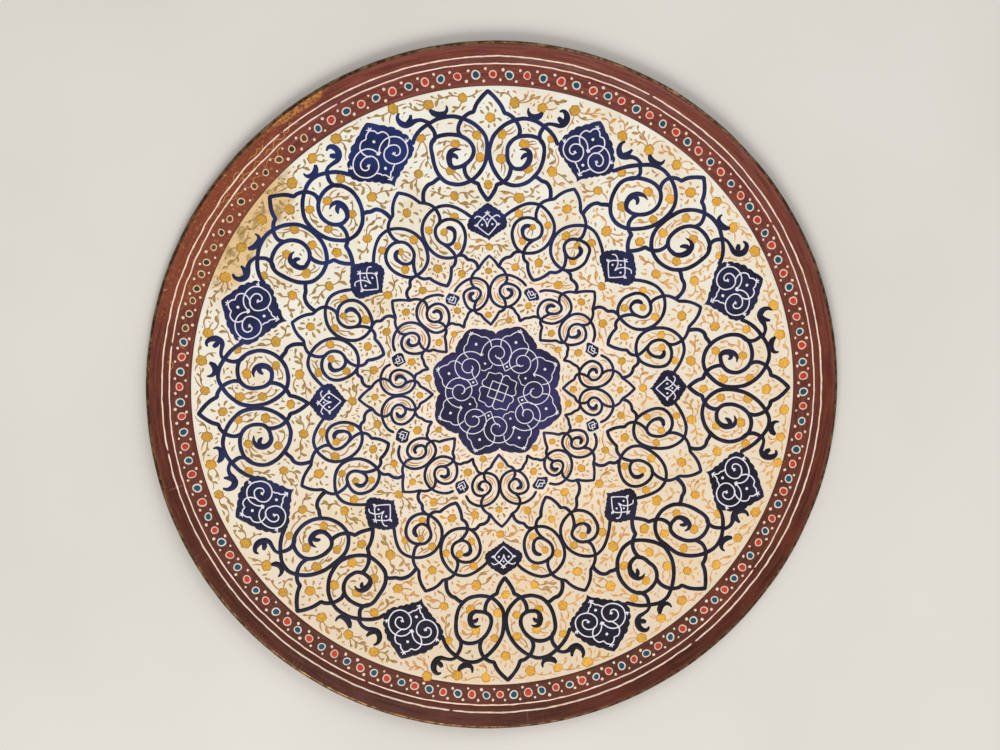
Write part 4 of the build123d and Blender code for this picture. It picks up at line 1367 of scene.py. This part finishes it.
def add_flower(coat, x, y, radius, rayed):
    """A daub of ochre with blunt petals round it, over a darker one that shows at its edge."""
    warm = min(1.0, max(0.0, (x - 0.3 * y) / 150 + 0.45))
    tint = np.array(GOLDS[min(3, int((1 - warm) * 2.2 + random.uniform(0, 1.8)))])
    petals = random.choice((5, 5, 6, 6, 7))
    lean = random.uniform(0, 6)
    angles = np.linspace(0, 2 * math.pi, 30, endpoint=False)
    edge = radius * (1 + 0.07 * np.cos(petals * angles + lean) + 0.05 * np.sin(2 * angles + lean)
                     + 0.04 * np.sin(9 * angles + 3 * lean))
    under = (x, y) + polar(edge, angles)
    slip = random.uniform(-0.16, 0.16), random.uniform(-0.16, 0.16)
    upper = (x + slip[0], y + slip[1]) + polar(0.88 * edge, angles)
    dark = tint * (0.72, 0.62, 0.52)
    coat.add(*plate(under, on_ground, OCHRE_LIFT - 0.012, (0.8, 0.4)), tint=tuple(dark))
    coat.add(*plate(upper, on_ground, OCHRE_LIFT, (0.8, 0.4)), tint=tuple(tint))
    flowers.append((x, y, radius, rayed))


def paint_flowers():
    coat = Coat()
    for spoke in range(SPOKES):
        for offset, singles, pairs in ((0, SPOKE_FLOWERS, SPOKE_PAIRS),
                                       (HALF, BETWEEN_FLOWERS, BETWEEN_PAIRS)):
            spots = list(singles)
            for x, y, radius in pairs:
                spots += [(x, y, radius), (-x, y, radius)]
            for x, y, radius in spots:
                shift = random.uniform(-0.9, 0.9), random.uniform(-0.9, 0.9)
                at = place([(x + shift[0], y + shift[1])], spoke, offset)[0]
                rayed = x == 0 and y in RAYED
                add_flower(coat, at[0], at[1], radius * random.uniform(0.98, 1.2), rayed)
    coat.make("flower_paint", OCHRE, "ochre_paint", "ochre_flowers")


class Room:
    """How far each part of the ground is from anything painted, on a fine grid, up to a limit."""

    CELL = 0.4
    LIMIT = 4.0

    def __init__(self):
        self.size = int(2 * CREAM_R / self.CELL) + 1
        ticks = np.arange(self.size) * self.CELL - CREAM_R
        self.x, self.y = np.meshgrid(ticks, ticks, indexing="ij")
        self.gaps = np.minimum(CREAM_R - 0.6 - np.hypot(self.x, self.y), self.LIMIT)

    def take(self, path, reach):
        """Marks a painted path that reaches this far to each side of its middle."""
        window = self.LIMIT + reach
        for px, py in path:
            i0, i1 = self.cells(px - window, px + window)
            j0, j1 = self.cells(py - window, py + window)
            part = np.s_[i0:i1, j0:j1]
            gap = np.hypot(self.x[part] - px, self.y[part] - py) - reach
            np.minimum(self.gaps[part], gap, out=self.gaps[part])

    def cells(self, low, high):
        return (max(0, int((low + CREAM_R) / self.CELL)),
                min(self.size, int((high + CREAM_R) / self.CELL) + 2))

    def at(self, x, y):
        i, j = int((x + CREAM_R) / self.CELL + 0.5), int((y + CREAM_R) / self.CELL + 0.5)
        if 0 <= i < self.size and 0 <= j < self.size:
            return self.gaps[i, j]
        return -1.0


def fine(coat, path, widths, tint, step=0.6, shaky=0.0):
    """A fine stroke of ochre on the ground."""
    brush(coat, path, widths, height=OCHRE_LIFT, profile=THIN, tint=tint, step=step, shaky=shaky)


def stem_path(room, x, y, heading, bend, start, length):
    """A path out from a flower that curves one way and then the other, for as long as there is
    room beside it."""
    path = [(x + start * math.cos(heading), y + start * math.sin(heading))]
    steps = int(length / STEM_STEP)
    for step in range(steps):
        px, py = path[-1]
        heading += STEM_STEP * bend * (1 if step < 0.55 * steps else -1.4)
        px, py = px + STEM_STEP * math.cos(heading), py + STEM_STEP * math.sin(heading)
        if room.at(px, py) < STEM_ROOM:
            break
        path.append((px, py))
    return path


def draw_leaf(coat, room, x, y, heading, length, width, tint):
    """One bent teardrop stroke, if there is room for it. Its broad end is the far one."""
    bend = random.uniform(0.25, 0.75) * random.choice((-1, 1))
    points = []
    for t in (0.0, 0.5, 1.0):
        turn = heading + bend * (t - 0.5)
        points.append((x + length * t * math.cos(turn), y + length * t * math.sin(turn)))
    for px, py in points[1:]:
        if room.at(px, py) < width / 2 + LEAF_ROOM:
            return False
    path = smooth(points, 3)
    fine(coat, path, [0.25, width * 0.7, width, width * 0.35], tint, 0.5)
    room.take(path[2:], width / 2)
    return True


def sprig_tints(x, y):
    """Leaf and stem colours, which go from olive at the top left to orange at the bottom right."""
    warm = min(1.0, max(0.0, (x - 0.25 * y) / 150 + 0.42 + random.uniform(-0.3, 0.3)))
    shade = min(3, int((1 - warm) * 4))
    return ORANGES[shade], TANS[shade]


def leaf_width(length):
    return 0.66 + 0.28 * length


def draw_stem(leaves, stems, room, flower):
    """A stem from a flower, the longest that there is room for, with leaves to each side."""
    x, y, radius = flower
    start = random.uniform(0, 2 * math.pi)
    best = []
    for way in range(STEM_WAYS):
        heading = start + 2 * math.pi * way / STEM_WAYS
        for bend in STEM_BENDS:
            path = stem_path(room, x, y, heading, bend, radius + 0.6, random.uniform(6.0, 10.0))
            if len(path) > len(best):
                best = path
    if len(best) < 5:
        return False
    leaf_tint, stem_tint = sprig_tints(x, y)
    best = np.array(best)
    root = best[0] + (np.array([x, y]) - best[0]) * 0.5
    line = np.vstack([root, best])
    fine(stems, line, [0.45, 0.7, 0.75, 0.5, 0.3], stem_tint)
    side = random.choice((-1, 1))
    for i in range(3, len(best), 4):
        way = best[i] - best[i - 1]
        heading = math.atan2(way[1], way[0]) + side * random.uniform(0.5, 0.95)
        for length in (random.uniform(2.8, 3.9), 2.3, 1.6):
            if draw_leaf(leaves, room, best[i][0], best[i][1], heading, length,
                         leaf_width(length), leaf_tint):
                break
        side = -side
    way = best[-1] - best[-2]
    draw_leaf(leaves, room, best[-1][0], best[-1][1], math.atan2(way[1], way[0]), 1.9, 1.0,
              leaf_tint)
    room.take(line, 0.3)
    return True


def draw_rays(leaves, room, flower):
    """Leaves set all round a flower, like rays."""
    x, y, radius = flower
    count = random.choice((6, 7, 8))
    start = random.uniform(0, 1)
    leaf_tint, _ = sprig_tints(x, y)
    for ray in range(count):
        heading = 2 * math.pi * (ray + start + random.uniform(-0.12, 0.12)) / count
        gap = radius + random.uniform(0.3, 0.7)
        for length in (random.uniform(2.2, 3.2), 1.7, 1.1):
            if draw_leaf(leaves, room, x + gap * math.cos(heading), y + gap * math.sin(heading),
                         heading, length, leaf_width(length), leaf_tint):
                break


def draw_echoes(stems, room):
    """Thin strokes that follow the inner palmettes' loops round."""
    offset = PALMETTES["inner"][0]
    for spoke in range(SPOKES):
        for mirror in (False, True):
            for points in INNER_ECHOES:
                path = place(smooth(points, 4), spoke, offset, mirror)
                tint = sprig_tints(*path[0])[1]
                fine(stems, path, [0.3, 0.6, 0.68, 0.6, 0.3], tint, shaky=0.15)
                room.take(path, 0.35)


def paint_sprigs():
    """Stems and leaves that grow from the flowers wherever the navy lines leave room, and small
    leaves and dots in what is left."""
    room = Room()
    for path, reach in navy_paths:
        room.take(path, reach)
    for x, y, radius, _ in flowers:
        room.take([(x, y)], radius)
    leaves, stems = Coat(), Coat()
    draw_echoes(stems, room)
    for *flower, rayed in flowers:
        if rayed:
            draw_rays(leaves, room, flower)
    for _ in range(3):
        for *flower, rayed in flowers:
            if not rayed:
                draw_stem(leaves, stems, room, flower)
    for i in range(SPRIG_TRIES):
        middle = i % 2 == 0
        r = (MIDDLE_TRIES_R if middle else CREAM_R) * math.sqrt(random.random())
        a = random.uniform(0, 2 * math.pi)
        x, y = r * math.cos(a), r * math.sin(a)
        space = room.at(x, y)
        if space < 0.5:
            continue
        leaf_tint, stem_tint = sprig_tints(x, y)
        if space > 0.8:
            longest, narrowest = (4.2, 0.5) if middle else (3.2, 0.6)
            for length in (random.uniform(1.8, longest), 1.5):
                width = leaf_width(length) * random.uniform(narrowest, narrowest + 0.35)
                if draw_leaf(leaves, room, x, y, random.uniform(0, 2 * math.pi), length, width,
                             random.choice((leaf_tint, stem_tint))):
                    break
        elif i > 0.8 * SPRIG_TRIES:
            spot = ring_of(x, y, random.uniform(0.2, 0.36), 8, 1.0, a)
            leaves.add(*plate(spot, on_ground, OCHRE_LIFT, (0.6,)), tint=leaf_tint)
            room.take([(x, y)], 0.35)
    leaves.make("ochre_leaves", OCHRE, "ochre_paint")
    stems.make("tan_stems", OCHRE, "ochre_paint")


# ---------------------------------------------------------------- camera, floor and light

LENS = 64.9
CAMERA_TARGET = Vector((1.77, 6.92, 0)) * MM
CAMERA_DISTANCE = 783.2 * MM
CAMERA_TILT = math.radians(8.143)
CAMERA_AZIMUTH = math.radians(123.66)


def set_camera():
    back = Vector((math.sin(CAMERA_TILT) * math.cos(CAMERA_AZIMUTH),
                   math.sin(CAMERA_TILT) * math.sin(CAMERA_AZIMUTH), math.cos(CAMERA_TILT)))
    right = Vector((0, 1, 0)).cross(back).normalized()
    up = back.cross(right)
    data = bpy.data.cameras.new("camera")
    data.lens = LENS
    data.clip_start = 0.01
    camera = add_object("camera", data)
    turn = camera.matrix_world.to_3x3()
    turn.col[0], turn.col[1], turn.col[2] = right, up, back
    camera.matrix_world = turn.to_4x4()
    camera.location = CAMERA_TARGET + back * CAMERA_DISTANCE
    bpy.context.scene.camera = camera


def add_light(name, place_at, size, power, colour):
    data = bpy.data.lights.new(name, "AREA")
    data.shape = "DISK"
    data.size = size
    data.energy = power
    data.color = colour
    lamp = add_object(name, data)
    lamp.location = place_at
    lamp.rotation_euler = Vector(place_at).to_track_quat("Z", "Y").to_euler()


FLOOR_HALF = 2.5
FLOOR_Z = -0.03 * MM       # a hair below the tray, so that the hammered underside stays out of it
SKY = (1.0, 0.985, 0.96, 1)
SKY_STRENGTH = 0.41


def set_studio():
    mesh = bpy.data.meshes.new("studio_floor")
    corners = ((-1, -1), (1, -1), (1, 1), (-1, 1))
    mesh.from_pydata([(FLOOR_HALF * x, FLOOR_HALF * y, FLOOR_Z) for x, y in corners], [],
                     [(0, 1, 2, 3)])
    mesh.materials.append(floor_paint())
    add_object("studio_floor", mesh)
    world = bpy.data.worlds.new("studio")
    world.use_nodes = True
    sky = world.node_tree.nodes["Background"]
    sky.inputs[0].default_value = SKY
    sky.inputs[1].default_value = SKY_STRENGTH
    bpy.context.scene.world = world
    add_light("key_light", (-0.25, -1.05, 1.1), 0.9, 15.5, (1.0, 0.97, 0.92))
    add_light("fill_light", (0.5, 1.1, 1.0), 1.2, 9.5, (0.96, 0.98, 1.0))
    bpy.context.scene.view_settings.view_transform = "Standard"


set_camera()
set_studio()
rim_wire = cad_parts["rim_wire"].data
rim_wire.materials.clear()
rim_wire.materials.append(iron())
make_pan()
make_cream()
make_maroon()
rim_line("inner_line_paint", 140.4, "inner_cream_line", [31.0, 118.5, 171.2, 246.0, 325.0])
rim_line("outer_line_paint", 143.4, "outer_cream_line", [62.5, 129.5, 190.0, 262.0, 308.0])
make_beads()
paint_scribbles()
for palmette_name in PALMETTES:
    paint_palmettes(palmette_name)
for medallion_name in MEDALLIONS:
    paint_medallions(medallion_name)
paint_rosette()
paint_white_work()
paint_rosette_white()
paint_flowers()
paint_sprigs()
